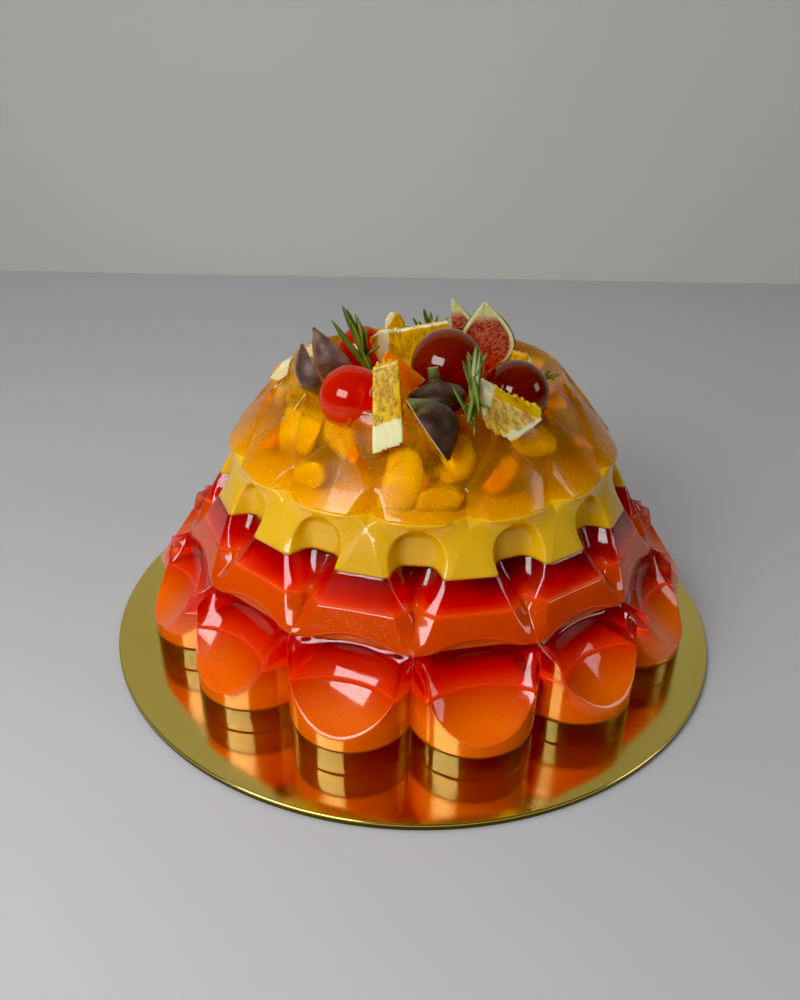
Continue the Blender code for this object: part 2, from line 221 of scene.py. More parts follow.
def lobe_wall(s):
    """The upright wall of a lobe, where its scoop or wall ends, and where the shield or channel begins."""
    if s <= 3:
        t = TIP_ACROSS * s / 3
        x = LOBE_RING + math.sqrt(LOBE_R ** 2 - t ** 2)
        out = (s / 3) ** 2
        return x, t, SCOOP_FOOT + SCOOP_RISE * (1 - (1 - out) ** SCOOP_ROUND), ARCH_TOP - ARCH_DROP * out
    v = (s - 3) / 4
    a = math.radians(mix(TIP_TURN, GAP_TURN, v))
    x, t = LOBE_RING + LOBE_R * math.cos(a), LOBE_R * math.sin(a)
    return x, t, mix(WALL_TOP_EDGE, WALL_TOP_GAP, v), mix(ARCH_TOP - ARCH_DROP, NOTCH_TOP, v)


def low_point(z, s):
    """Lobe wall, then the hollow scoop that leans back to the shield."""
    x, t, foot, top = lobe_wall(s)
    if z <= foot:
        return x, t
    xa, ta = high_point(top, s)
    u = share(z, foot, top)
    middle = 1 - (s / 3) ** 2 if s < 3 else 0.0
    tucked = UNDERCUT * smooth_step(u, *UNDERCUT_AT) * min(1.0, (1 - u) / LEDGE)
    hollow = SCOOP_HOLLOW * 4 * u * (1 - u) + tucked
    return mix(x, xa, u) - hollow * middle, mix(t, ta, u)


def high_point(z, s):
    """Flat shield, then the channel with its teardrop hollow."""
    drop = SHIELD_TOP - z
    x, t = SHIELD_TOP_R + SHIELD_LEAN * drop, max(POINT_HALF, SHIELD_SPREAD * drop) * min(s, 3) / 3
    if s <= 3:
        return x, t
    edge_r, edge_a = math.hypot(x, t), HALF - math.degrees(math.atan2(t, x))
    floor_r, ridge_r = along(CHANNEL, z), along(RIDGE, z)
    rim_a = math.degrees(along(TEARDROP, z) / ridge_r)
    rim_a = min(RIM_MOST * edge_a, max(RIM_LEAST * edge_a, rim_a))
    rim_r = mix(ridge_r, edge_r, rim_a / edge_a)
    if s <= 4:
        return polar(HALF - mix(edge_a, rim_a, s - 3), mix(edge_r, rim_r, s - 3))
    w = (7 - s) / 3
    bowl = mix(*BOWLS, share(z, TEARDROP[0][0], TEARDROP[2][0]))
    return polar(HALF - rim_a * w, mix(floor_r, rim_r, w ** bowl))


def top_point(z, s):
    """Stem valley and V facet in the middle of a lobe, raised panel over the gap."""
    panel_r = along(PANEL, z)
    if z < V_FOOT:
        valley_r = along(STEM, z)
        half = mix(STEM_HALF, POINT_HALF, share(z, STEM[1][0], V_FOOT))
        side_r = mix(valley_r, panel_r, STEM_SIDE)
    else:
        u = share(z, V_FOOT, CROWN_Z)
        valley_r = mix(STEM[-1][1], CROWN_R, u) - V_HOLLOW * 4 * u * (1 - u)
        half = mix(POINT_HALF, V_FILL * HALF, share(z, V_FOOT, V_TOP) ** V_CURVE)
        side_r = mix(mix(valley_r, panel_r, V_SIDE), CROWN_R, share(z, V_TOP, CROWN_Z))
    shoulder = half + min(SHOULDER, SHOULDER_SHARE * (HALF - half))
    a = along(((0, 0.0), (3, half), (4, shoulder), (7, HALF)), s)
    r = along(((0, valley_r), (3, side_r), (4, panel_r - PANEL_ROUND), (5.5, panel_r), (7, panel_r)), s)
    return polar(a, r)


def outline_point(z, s):
    if z < lobe_wall(s)[3]:
        return low_point(z, s)
    if z <= SHIELD_TOP:
        return high_point(z, s)
    if z < STEM[1][0]:
        u = share(z, SHIELD_TOP, STEM[1][0])
        a, b = high_point(SHIELD_TOP, s), top_point(STEM[1][0], s)
        return mix(a[0], b[0], u), mix(a[1], b[1], u)
    return top_point(z, s)


print("lobe tip radius", round(outline_point(5.0, 0)[0], 1), "mm")

# %% [markdown]
# Half a lobe is laid out as a net of rows and columns. In each layer the rows gather at the rim of the
# scoop and at the arch above it, so those edges run along the net and stay crisp. The net is then relaxed a
# little, which rounds every edge by about a millimetre, as jelly is rounded when it leaves its mould.

# %% Rows and columns of half a lobe
LAYERS = (
    ("base_clear", 0.0, 12.6), ("coral_lower", 12.6, 33.0), ("red_lower", 33.0, 46.5),
    ("coral_upper", 46.5, 59.2), ("red_upper", 59.2, 71.9), ("yellow_layer", 71.9, 93.0),
    ("amber_top", 93.0, CROWN_Z),
)
ROW_STEP = 1.0
TINY = 1e-6
COLUMN_RUNS = ((0.0, 2.4, 9), (2.4, 3.0, 5), (3.0, 3.4, 3), (3.4, 4.0, 4), (4.0, 4.6, 5), (4.6, 7.0, 7))
COLUMNS = [a + (b - a) * k / count for a, b, count in COLUMN_RUNS for k in range(count)] + [7.0]


def stops(low, high, s):
    """The heights between which a column's rows are spread: the faces, the scoop's foot and the arch."""
    foot, arch = lobe_wall(s)[2:]
    return [low, min(max(foot, low), high), min(max(arch, low), high), high]


def row_counts(low, high):
    tallest = np.max([np.diff(stops(low, high, s)) for s in COLUMNS], axis=0)
    return [max(1, round(gap / ROW_STEP)) if gap > 0.01 else 0 for gap in tallest]


rows, layer_rows = [], [0]
for name, low, high in LAYERS:
    counts = row_counts(low, high)
    columns = []
    for s in COLUMNS:
        heights = [low]
        for a, b, count in zip(stops(low, high, s), stops(low, high, s)[1:], counts):
            heights += [a + (b - a) * k / count for k in range(1, count + 1)]
        columns.append([(*outline_point(min(z, high - TINY), s), z) for z in heights])
    block = np.array(columns).transpose(1, 0, 2)
    rows.extend(block if not rows else block[1:])
    layer_rows.append(len(rows) - 1)
half_lobe = np.array(rows)
print("net", half_lobe.shape[:2], "layer edges at rows", layer_rows)

# %% Relax the net
RELAX_ROUNDS, RELAX = 2, 0.35
nodes_xyz, node_of = np.unique(np.round(half_lobe.reshape(-1, 3), 4), axis=0, return_inverse=True)
node_of = node_of.reshape(half_lobe.shape[:2])
last = len(COLUMNS) - 1
pulls = []
for c in range(last):
    for here, there in ((c, c + 1), (c + 1, c)):
        weight = 2.0 if here in (0, last) else 1.0
        pulls += [(a, b, weight) for a, b in zip(node_of[:, here], node_of[:, there]) if a != b]
for r in range(len(node_of) - 1):
    pulls += [(a, b, 1.0) for a, b in zip(node_of[r], node_of[r + 1]) if a != b]
    pulls += [(b, a, 1.0) for a, b in zip(node_of[r], node_of[r + 1]) if a != b]
pulls = np.unique(np.array(pulls), axis=0)
pulled, puller, weights = pulls[:, 0].astype(int), pulls[:, 1].astype(int), pulls[:, 2]
level = np.unique(node_of[layer_rows])
fixed = np.unique(node_of[[0, -1]])
gap_way = np.array([math.cos(math.radians(HALF)), math.sin(math.radians(HALF))])
for _ in range(RELAX_ROUNDS):
    total, count = np.zeros_like(nodes_xyz), np.zeros(len(nodes_xyz))
    np.add.at(total, pulled, nodes_xyz[puller] * weights[:, None])
    np.add.at(count, pulled, weights)
    moved = nodes_xyz + RELAX * (total / count[:, None] - nodes_xyz)
    moved[level, 2] = nodes_xyz[level, 2]
    moved[fixed] = nodes_xyz[fixed]
    moved[node_of[:, 0], 1] = 0.0
    on_gap = np.unique(node_of[:, last])
    moved[on_gap, :2] = (moved[on_gap, :2] @ gap_way)[:, None] * gap_way
    nodes_xyz = moved
half_lobe = nodes_xyz[node_of]
whole_lobe = np.concatenate([half_lobe[:, :0:-1] * np.array([1, -1, 1]), half_lobe], axis=1)
first_turn = math.radians(HALF)
lobe_net = np.stack([
    whole_lobe[:, :, 0] * math.sin(first_turn) + whole_lobe[:, :, 1] * math.cos(first_turn),
    -whole_lobe[:, :, 0] * math.cos(first_turn) + whole_lobe[:, :, 1] * math.sin(first_turn),
    whole_lobe[:, :, 2]], axis=2)
print("relaxed", len(nodes_xyz), "points")

# %% [markdown]
# Geometry Nodes turn one wedge of a layer into the whole layer. The tree puts a copy on each of fourteen
# points, turns each by its own number, and welds the seams. A wedge is quick to make, and the fourteen
# lobes come out the same, as they do from a mould.


# %% Helpers for node trees
def new_tree(name, sockets):
    """An empty tree: gives back the tree, the sockets of its named inputs, and its last node."""
    tree = bpy.data.node_groups.new(name, "GeometryNodeTree")
    for label, kind in sockets:
        tree.interface.new_socket(label, in_out="INPUT", socket_type="NodeSocket" + kind)
    tree.interface.new_socket("Geometry", in_out="OUTPUT", socket_type="NodeSocketGeometry")
    return tree, tree.nodes.new("NodeGroupInput").outputs, tree.nodes.new("NodeGroupOutput")


def add_node(tree, kind, settings=None, **values):
    """A node with its settings. An input takes a plain value, a socket, or a node's first output."""
    node = tree.nodes.new(kind)
    for key, value in (settings or {}).items():
        setattr(node, key, value)
    for key, value in values.items():
        socket = node.inputs[int(key[1:])] if key[0] == "_" else node.inputs[key.replace("_", " ")]
        if isinstance(value, bpy.types.Node):
            value = value.outputs[0]
        if isinstance(value, bpy.types.NodeSocket):
            tree.links.new(value, socket)
        else:
            socket.default_value = value
    return node


def work_out(tree, kind, operation, *values, **named):
    """A node that works out one operation on its first inputs."""
    numbered = {f"_{k}": value for k, value in enumerate(values)}
    return add_node(tree, kind, {"operation": operation}, **numbered, **named)


def named_values(tree, name, kind="FLOAT"):
    return add_node(tree, "GeometryNodeInputNamedAttribute", {"data_type": kind}, Name=name)


def lie_along(tree, way, face, face_axis):
    """A turn that lays the Z axis along one way and turns another axis to face a second way."""
    lie = add_node(tree, "FunctionNodeAlignRotationToVector", {"axis": "Z"}, Vector=way)
    return add_node(tree, "FunctionNodeAlignRotationToVector", {"axis": face_axis, "pivot_axis": "Z"},
                    Rotation=lie, Vector=face)


def copies_on(tree, points, pattern, turn, size=(1, 1, 1)):
    return add_node(tree, "GeometryNodeInstanceOnPoints", Points=points, Instance=pattern, Rotation=turn,
                    Scale=size)


def real_mesh(tree, copies):
    return add_node(tree, "GeometryNodeRealizeInstances", Geometry=copies)


def joined(tree, *parts):
    both = add_node(tree, "GeometryNodeJoinGeometry")
    for part in parts:
        tree.links.new(part, both.inputs[0])
    return both


def close_tree(tree, end, geometry, look):
    """Give the real geometry its material and lead it out."""
    dressed = add_node(tree, "GeometryNodeSetMaterial", Geometry=geometry, Material=look)
    tree.links.new(dressed.outputs[0], end.inputs[0])
    print("tree", tree.name, len(tree.nodes), "nodes")


def run_tree(obj, tree, **values):
    """Run a tree on an object once, with its inputs set by their identifiers, and keep the plain mesh."""
    mod = obj.modifiers.new(tree.name, "NODES")
    mod.node_group = tree
    for item in tree.interface.items_tree:
        key = item.name.replace(" ", "_")
        if item.in_out == "INPUT" and key in values:
            mod[item.identifier] = values[key]
    return evaluated(obj)


# %% Tree that repeats a wedge round the mould
SEAM = 0.002
round_tree, given, end = new_tree("lobes_round", (
    ("Geometry", "Geometry"), ("Lobes", "Int"), ("Jelly", "Material")))
spots = add_node(round_tree, "GeometryNodePoints", Count=given["Lobes"])
number = add_node(round_tree, "GeometryNodeInputIndex")
step = work_out(round_tree, "ShaderNodeMath", "DIVIDE", math.tau, given["Lobes"])
angle = work_out(round_tree, "ShaderNodeMath", "MULTIPLY", number, step)
euler = add_node(round_tree, "ShaderNodeCombineXYZ", Z=angle)
turn = add_node(round_tree, "FunctionNodeEulerToRotation", _0=euler)
real = real_mesh(round_tree, copies_on(round_tree, spots, given["Geometry"], turn))
weld = add_node(round_tree, "GeometryNodeMergeByDistance", Geometry=real, Distance=SEAM)
close_tree(round_tree, end, weld, given["Jelly"])

# %% [markdown]
# Jelly is never quite flat: it keeps small pits of the mould and slow waves where it shrank. One node group
# makes that relief and a matching change of gloss, and every jelly takes it with its own values.


# %% Helpers for materials
def srgb(r, g, b):
    """A screen colour from 0 to 255 as the linear colour that a shader takes."""
    lin = [c / 255 / 12.92 if c <= 10 else ((c / 255 + 0.055) / 1.055) ** 2.4 for c in (r, g, b)]
    return (*lin, 1.0)


def new_material(name, **values):
    mat = bpy.data.materials.new(name)
    mat.use_nodes = True
    shader = mat.node_tree.nodes["Principled BSDF"]
    for key, value in values.items():
        shader.inputs[key.replace("_", " ")].default_value = value
    return mat, mat.node_tree, shader


def under_skin(weight, radius, scale):
    """Values for light that spreads under a skin."""
    return {"Subsurface_Weight": weight, "Subsurface_Radius": radius, "Subsurface_Scale": scale}


def coated(weight, roughness):
    return {"Coat_Weight": weight, "Coat_Roughness": roughness}


def noise_on(tree, vector, scale, detail=2.0):
    return add_node(tree, "ShaderNodeTexNoise", Vector=vector, Scale=scale, Detail=detail).outputs[0]


def blend(tree, factor, a, b):
    """Two colours mixed by a mask."""
    return add_node(tree, "ShaderNodeMix", {"data_type": "RGBA"}, _0=factor, _6=a, _7=b).outputs[2]


def ramp(tree, value, low, high, to_low=0.0, to_high=1.0):
    """A mask stretched from one range to another."""
    return add_node(tree, "ShaderNodeMapRange", Value=value, From_Min=low, From_Max=high, To_Min=to_low,
                    To_Max=to_high).outputs[0]


def drift(tree, coords, scale, a, b, detail=2.0):
    """Two close tones that drift into each other."""
    return blend(tree, ramp(tree, noise_on(tree, coords, scale, detail), 0.35, 0.65), a, b)


def mask(tree, name):
    return add_node(tree, "ShaderNodeAttribute", {"attribute_name": name}).outputs["Fac"]


def feed(tree, shader, **values):
    for key, value in values.items():
        tree.links.new(value, shader.inputs[key.replace("_", " ")])


def add_relief(tree, shader, height, strength, distance):
    bump = add_node(tree, "ShaderNodeBump", Strength=strength, Distance=distance, Height=height)
    feed(tree, shader, Normal=bump.outputs[0])


def own_coords(tree):
    return add_node(tree, "ShaderNodeTexCoord").outputs["Object"]


# %% Group for the skin of set jelly
PIT_SCALE, WAVE_SCALE = 1400.0, 55.0
wet_skin = bpy.data.node_groups.new("wet_skin", "ShaderNodeTree")
for label, kind in (("Vector", "Vector"), ("Pit Scale", "Float"), ("Wave Scale", "Float"), ("Pits", "Float"),
                    ("Dull", "Float"), ("Dull Change", "Float")):
    wet_skin.interface.new_socket(label, in_out="INPUT", socket_type="NodeSocket" + kind)
for label in ("Height", "Roughness"):
    wet_skin.interface.new_socket(label, in_out="OUTPUT", socket_type="NodeSocketFloat")
skin_in, skin_out = wet_skin.nodes.new("NodeGroupInput").outputs, wet_skin.nodes.new("NodeGroupOutput")
pit_mask = ramp(wet_skin, noise_on(wet_skin, skin_in["Vector"], skin_in["Pit Scale"], 3.0), 0.55, 0.75)
waves = noise_on(wet_skin, skin_in["Vector"], skin_in["Wave Scale"], 1.0)
deep = work_out(wet_skin, "ShaderNodeMath", "MULTIPLY", pit_mask, skin_in["Pits"])
height = work_out(wet_skin, "ShaderNodeMath", "SUBTRACT", waves, deep)
dull = work_out(wet_skin, "ShaderNodeMath", "MULTIPLY_ADD", pit_mask, skin_in["Dull Change"], skin_in["Dull"])
wet_skin.links.new(height.outputs[0], skin_out.inputs["Height"])
wet_skin.links.new(dull.outputs[0], skin_out.inputs["Roughness"])


def wet(tree, shader, vector, pits=0.25, dull=0.05, dull_change=0.1, depth=0.0006):
    """Give a material the skin of set jelly, with its own pits, gloss and depth of relief."""
    group = add_node(tree, "ShaderNodeGroup", {"node_tree": wet_skin}, Vector=vector, Pit_Scale=PIT_SCALE,
                     Wave_Scale=WAVE_SCALE, Pits=pits, Dull=dull, Dull_Change=dull_change)
    feed(tree, shader, Roughness=group.outputs["Roughness"])
    add_relief(tree, shader, group.outputs["Height"], 0.6, depth)


print("group", wet_skin.name, len(wet_skin.nodes), "nodes")

# %% [markdown]
# Clear jelly is a glass that swallows colour with depth. Light from deep inside has lost its green and
# blue, which is why the red jelly is dark where the eye looks far into it and pale at a thin edge. A
# surface of glass blocks the straight light of a lamp, so for shadow rays alone the material is
# transparent, and the depth still tints that light. The amber jelly and the balls are a little milky, so a
# share of their light scatters. Cloudy jelly scatters all of it under its skin, and the lower coral reddens
# towards the red above it. All have a wet coat that keeps highlights sharp.

# %% Jelly materials
WATER_IOR, COAT_IOR = 1.36, 1.5


def clear_jelly(name, swallow, density, dull=0.05, coat=0.6, tint=(1, 1, 1, 1), clearness=1.0, **skin):
    mat, tree, shader = new_material(name, Base_Color=tint, Transmission_Weight=clearness, IOR=WATER_IOR,
                                     **under_skin(1.0, (1.0, 0.6, 0.1), 0.01), **coated(coat, 0.02),
                                     Coat_IOR=COAT_IOR)
    wet(tree, shader, own_coords(tree), dull=dull, **skin)
    path = add_node(tree, "ShaderNodeLightPath")
    passing = add_node(tree, "ShaderNodeBsdfTransparent")
    either = add_node(tree, "ShaderNodeMixShader", _0=path.outputs["Is Shadow Ray"], _1=shader, _2=passing)
    depth = add_node(tree, "ShaderNodeVolumeAbsorption", Color=swallow, Density=density)
    out = tree.nodes["Material Output"]
    tree.links.new(either.outputs[0], out.inputs["Surface"])
    tree.links.new(depth.outputs[0], out.inputs["Volume"])
    return mat


def cloudy_jelly(name, pale, full, scatter, blush=None, **skin):
    """Milky jelly: two close tones drift through it, and it may redden between two heights in metres."""
    mat, tree, shader = new_material(name, IOR=WATER_IOR, **under_skin(0.6, scatter, 0.007),
                                     **coated(0.7, 0.02), Coat_IOR=COAT_IOR)
    coords = own_coords(tree)
    colour = drift(tree, coords, 26.0, full, pale)
    if blush:
        height = add_node(tree, "ShaderNodeSeparateXYZ", _0=coords).outputs["Z"]
        colour = blend(tree, ramp(tree, height, blush[1], blush[2]), colour, blush[0])
    feed(tree, shader, Base_Color=colour)
    wet(tree, shader, coords, **skin)
    return mat


CORAL_SCATTER = (1.0, 0.35, 0.12)
CUSTARD_SCATTER = (1.0, 0.75, 0.3)
RED_DEPTH = (0.90, 0.18, 0.02, 1)
BLUSH_AT = (0.026, 0.036)
JELLIES = {
    "base_clear": clear_jelly("base_clear_jelly", (0.88, 0.62, 0.0, 1), 20.0, dull=0.1),
    "coral_lower": cloudy_jelly("coral_lower_jelly", srgb(244, 112, 28), srgb(236, 98, 16), CORAL_SCATTER,
                                blush=(srgb(208, 52, 4), *BLUSH_AT), dull=0.12),
    "red_lower": clear_jelly("red_lower_jelly", RED_DEPTH, 85.0),
    "coral_upper": cloudy_jelly("coral_upper_jelly", srgb(218, 78, 2), srgb(206, 64, 0), CORAL_SCATTER,
                                dull=0.14),
    "red_upper": clear_jelly("red_upper_jelly", RED_DEPTH, 190.0),
    "yellow_layer": cloudy_jelly("yellow_layer_jelly", srgb(236, 188, 46), srgb(226, 174, 34),
                                 CUSTARD_SCATTER, dull=0.14),
    "amber_top": clear_jelly("amber_top_jelly", (0.92, 0.85, 0.0, 1), 85.0, dull=0.2, coat=0.35,
                             tint=srgb(226, 172, 4), clearness=0.80),
}
print(len(JELLIES), "jellies")

# %% [markdown]
# Each layer is cut out of the net between two rows and closed by flat faces that run to the middle. A clear
# layer reaches a hair into its cloudy neighbours, so that light inside it meets the next jelly directly. A
# film of air between them would shine like a mirror. The amber layer's top turns in over a lip and down to
# the dish that holds the fruit.

# %% One wedge of a layer
SUNK, INSET = 0.25, 0.5
CLEAR = ("base_clear", "red_lower", "red_upper", "amber_top")
CROWN_PROFILE = ((CROWN_R - 0.6, CROWN_Z + 0.2), (CROWN_R - 1.5, CROWN_Z + 0.25), (LIP_IN, CROWN_Z - 0.05),
                 (LIP_IN - 1.2, CROWN_Z - 1.0), (mix(LIP_IN, DISH_R, 0.5), mix(CROWN_Z, DISH_Z, 0.5)),
                 (DISH_R + 0.8, DISH_Z + 0.7), (DISH_R - 1.5, DISH_Z),
                 *((radius, DISH_Z) for radius in (44.0, 34.0, 24.0, 13.0)))


def ring_at(ring, radius, z):
    """The same turns as a ring, at another radius and height."""
    out = ring.copy()
    out[:, :2] *= (radius / np.hypot(ring[:, 0], ring[:, 1]))[:, None]
    out[:, 2] = z
    return out


def wedge_mesh(index):
    name, low, high = LAYERS[index]
    skin = list(lobe_net[layer_rows[index]:layer_rows[index + 1] + 1])
    below, above = [], []
    if name in CLEAR:
        foot, head = skin[0], skin[-1]
        below = [ring_at(foot, np.hypot(foot[:, 0], foot[:, 1]) - INSET, low - SUNK)]
        if name == "amber_top":
            above = [ring_at(head, radius, z) for radius, z in CROWN_PROFILE]
        else:
            above = [ring_at(head, np.hypot(head[:, 0], head[:, 1]) - INSET, high + SUNK)]
    rings = np.array(below + skin + above)
    flat, index_of = np.unique(np.round(rings.reshape(-1, 3), 4), axis=0, return_inverse=True)
    index_of = index_of.reshape(rings.shape[:2])
    faces = []
    for lower, upper in zip(index_of, index_of[1:]):
        for c in range(len(lower) - 1):
            corners = (lower[c], lower[c + 1], upper[c + 1], upper[c])
            face = [int(v) for k, v in enumerate(corners) if v != corners[k - 1]]
            if len(set(face)) > 2:
                faces.append(face)
    verts = list(flat)
    for ring, z in ((index_of[0], rings[0, 0, 2]), (index_of[-1], rings[-1, 0, 2])):
        centre = len(verts)
        verts.append((0.0, 0.0, z))
        faces += [[int(ring[c]), int(ring[c + 1]), centre] for c in range(len(ring) - 1)]
    return mesh_from(name + "_wedge", verts, faces)


# %% Layers
UNEVEN, UNEVEN_SIZE = 0.35, 24.0
RIPPLE, RIPPLE_SIZE = 0.7, 9.0
# Without a seed, the vector noise would start from the clock and differ each time.
noise.seed_set(LOBES)


def uneven(points):
    """A slow, small shift of every point, the same for neighbouring layers, since no jelly is exact."""
    shift = np.array([noise.noise_vector(Vector(p) / UNEVEN_SIZE) for p in points])
    held = np.clip(points[:, 2] / LAYERS[0][2], 0, 1)[:, None]
    return points + shift * UNEVEN * held


def rippled(points):
    """Low waves on the floor of the dish."""
    radius = np.hypot(points[:, 0], points[:, 1])
    floor_here = (radius < DISH_R) & (points[:, 2] > DISH_Z - 1)
    for k in np.nonzero(floor_here)[0]:
        points[k, 2] += RIPPLE * noise.noise(Vector(points[k]) / RIPPLE_SIZE)
    return points


for index, (name, *_) in enumerate(LAYERS):
    layer = new_object(name + "_jelly", wedge_mesh(index))
    run_tree(layer, round_tree, Lobes=LOBES, Jelly=JELLIES[name])
    outward(layer)
    points = uneven(points_of(layer))
    move_points(layer, rippled(points) if name == "amber_top" else points)
    declare(settle(layer, JELLIES[name]), name + "_jelly", name)

# %% [markdown]
# The board is hardboard under gold mirror foil. It is turned from a short profile with a rounded rim. The
# foil is a smooth metal with faint smears. Its side below the rim is painted dark, a painted shade.


# %% Board
def turned(name, profile, sides):
    """A closed turned shape from a profile of radius and height."""
    turns = [k * math.tau / sides for k in range(sides)]
    verts = [(r * math.cos(a), r * math.sin(a), z) for r, z in profile for a in turns]
    return new_object(name, mesh_from(name, verts, tube_faces(len(profile), sides)))


PAINTED_SHADE_HEIGHTS = (0.0021, 0.0025)


def gold_foil():
    """Mirror foil on the top. Below its turned edge, at the two heights above in metres, the side turns dark:
    painted shade for the dim side of the board.
    """
    mat, tree, shader = new_material("board_gold", Metallic=1.0)
    coords = own_coords(tree)
    smears = noise_on(tree, coords, 11.0, detail=5.0)
    height = add_node(tree, "ShaderNodeSeparateXYZ", _0=coords).outputs["Z"]
    foil = blend(tree, ramp(tree, smears, 0.3, 0.7), srgb(228, 204, 108), srgb(240, 218, 128))
    # Painted shade: below the rim the side is a dark gold, standing in for the shade on it.
    colour = blend(tree, ramp(tree, height, *PAINTED_SHADE_HEIGHTS), srgb(96, 82, 36), foil)
    feed(tree, shader, Base_Color=colour, Roughness=ramp(tree, smears, 0.3, 0.7, 0.10, 0.2))
    add_relief(tree, shader, noise_on(tree, coords, 30.0, detail=3.0), 0.3, 0.0003)
    return mat


RIM, FINE = 0.5, 0.15
BOARD_PROFILE = ((BOARD_R - RIM, 0), (BOARD_R - FINE, FINE), (BOARD_R, RIM), (BOARD_R, BOARD_T - RIM),
                 (BOARD_R - FINE, BOARD_T - FINE), (BOARD_R - RIM, BOARD_T), (BOARD_R - RIM - FINE, BOARD_T),
                 (BOARD_R - 2.0, BOARD_T))
board = turned("gold_board", BOARD_PROFILE, 256)
outward(board)
declare(settle(board, gold_foil(), ON_BOARD_CENTRE), "board_gold", "cake_board")
board.data.polygons.foreach_set("use_smooth", [len(p.vertices) == 4 for p in board.data.polygons])

# %% [markdown]
# The balls are ruby jelly, set in round moulds, partly clear and partly milky. Each is made a little out of
# round, and each has its own depth of colour. The milky colour of each ball is partly its own and partly
# painted
# light: the bright colour of the front ball stands in for the light that gathers in it.

# %% Jelly balls
# The last colour in each row is the ball's milky colour, partly painted light: the front ball's bright one
# stands in for the light it gathers.
BALLS = (
    ("ball_front", (-29.6, -47.6, 127.4), 13.8, (0.98, 0.28, 0.0, 1), 100.0, srgb(232, 54, 4)),
    ("ball_centre", (10.3, -23.0, 134.4), 16.2, (0.88, 0.18, 0.02, 1), 130.0, srgb(156, 56, 22)),
    ("ball_right", (39.3, -38.4, 127.9), 14.5, (0.86, 0.20, 0.03, 1), 130.0, srgb(132, 54, 26)),
    ("ball_back", (-30.5, 14.0, 128.5), 11.8, (0.94, 0.18, 0.0, 1), 110.0, srgb(214, 56, 12)),
)
BALL_WOBBLE = 0.12


def jelly_ball(name, centre, radius):
    bm = bmesh.new()
    bmesh.ops.create_uvsphere(bm, u_segments=96, v_segments=64, radius=radius)
    for v in bm.verts:
        v.co *= 1 + BALL_WOBBLE / radius * noise.noise(v.co / radius * 1.7 + Vector(centre))
    bmesh.ops.translate(bm, verts=bm.verts, vec=centre)
    mesh = bpy.data.meshes.new(name)
    bm.to_mesh(mesh)
    bm.free()
    return new_object(name + "_jelly", mesh)


for name, centre, radius, swallow, density, body in BALLS:
    # The milky body colour carries painted light as well as the ball's own colour.
    ruby = clear_jelly(name + "_ruby", swallow, density, dull=0.02, coat=0.3, tint=body, clearness=0.6,
                       pits=0.05, dull_change=0.02, depth=0.0002)
    declare(settle(jelly_ball(name, centre, radius), ruby), "ball_ruby", name)

# %% [markdown]
# A cut piece of orange is a block with knife faces: juicy flesh, white pith and a thin zest. The block is
# lofted between two cut outlines and remeshed, which rounds its edges and gives it enough points to carry
# pith and zest as attributes. Geometry Nodes then bed juice sacs in the flesh, each a small drop that lies
# along the way from rind to core.

# %% Tree that beds juice sacs
MOST_PITH, LEAST_FACING, STRAY = 0.35, 0.6, 0.16
sac_tree, given, end = new_tree("juice_sacs", (
    ("Geometry", "Geometry"), ("Density", "Float"), ("Sac Width", "Float"), ("Sac Length", "Float"),
    ("Sunk", "Float"), ("Grain", "Vector"), ("Seed", "Int"), ("Pulp", "Material")))
juicy = work_out(sac_tree, "FunctionNodeCompare", "LESS_THAN", named_values(sac_tree, "pith"), MOST_PITH)
facing = add_node(sac_tree, "ShaderNodeSeparateXYZ", _0=add_node(sac_tree, "GeometryNodeInputNormal"))
sideways = work_out(sac_tree, "ShaderNodeMath", "ABSOLUTE", facing.outputs["Y"])
cut_face = work_out(sac_tree, "FunctionNodeCompare", "GREATER_THAN", sideways, LEAST_FACING)
bed = work_out(sac_tree, "FunctionNodeBooleanMath", "AND", juicy, cut_face)
spots = add_node(sac_tree, "GeometryNodeDistributePointsOnFaces", Mesh=given["Geometry"], Selection=bed,
                 Density=given["Density"], Seed=given["Seed"])
stray = add_node(sac_tree, "FunctionNodeRandomValue", {"data_type": "FLOAT_VECTOR"},
                 _0=(-STRAY, -STRAY, -STRAY), _1=(STRAY, STRAY, STRAY), Seed=given["Seed"])
way = work_out(sac_tree, "ShaderNodeVectorMath", "ADD", given["Grain"], stray)
turn = lie_along(sac_tree, way, spots.outputs["Normal"], "X")
sac = add_node(sac_tree, "GeometryNodeMeshUVSphere", Segments=7, Rings=6, Radius=0.5)
size = add_node(sac_tree, "ShaderNodeCombineXYZ", X=given["Sac Width"], Y=given["Sac Width"],
                Z=given["Sac Length"])
vary = add_node(sac_tree, "FunctionNodeRandomValue", {"data_type": "FLOAT"}, _2=0.65, _3=1.25, Seed=7)
scale = work_out(sac_tree, "ShaderNodeVectorMath", "SCALE", size, Scale=vary.outputs[1])
drops = copies_on(sac_tree, spots, sac, turn, scale)
inward = work_out(sac_tree, "ShaderNodeVectorMath", "SCALE", spots.outputs["Normal"], Scale=given["Sunk"])
bedded = add_node(sac_tree, "GeometryNodeSetPosition", Geometry=drops, Offset=inward)
both = joined(sac_tree, real_mesh(sac_tree, bedded).outputs[0], given["Geometry"])
close_tree(sac_tree, end, both, given["Pulp"])


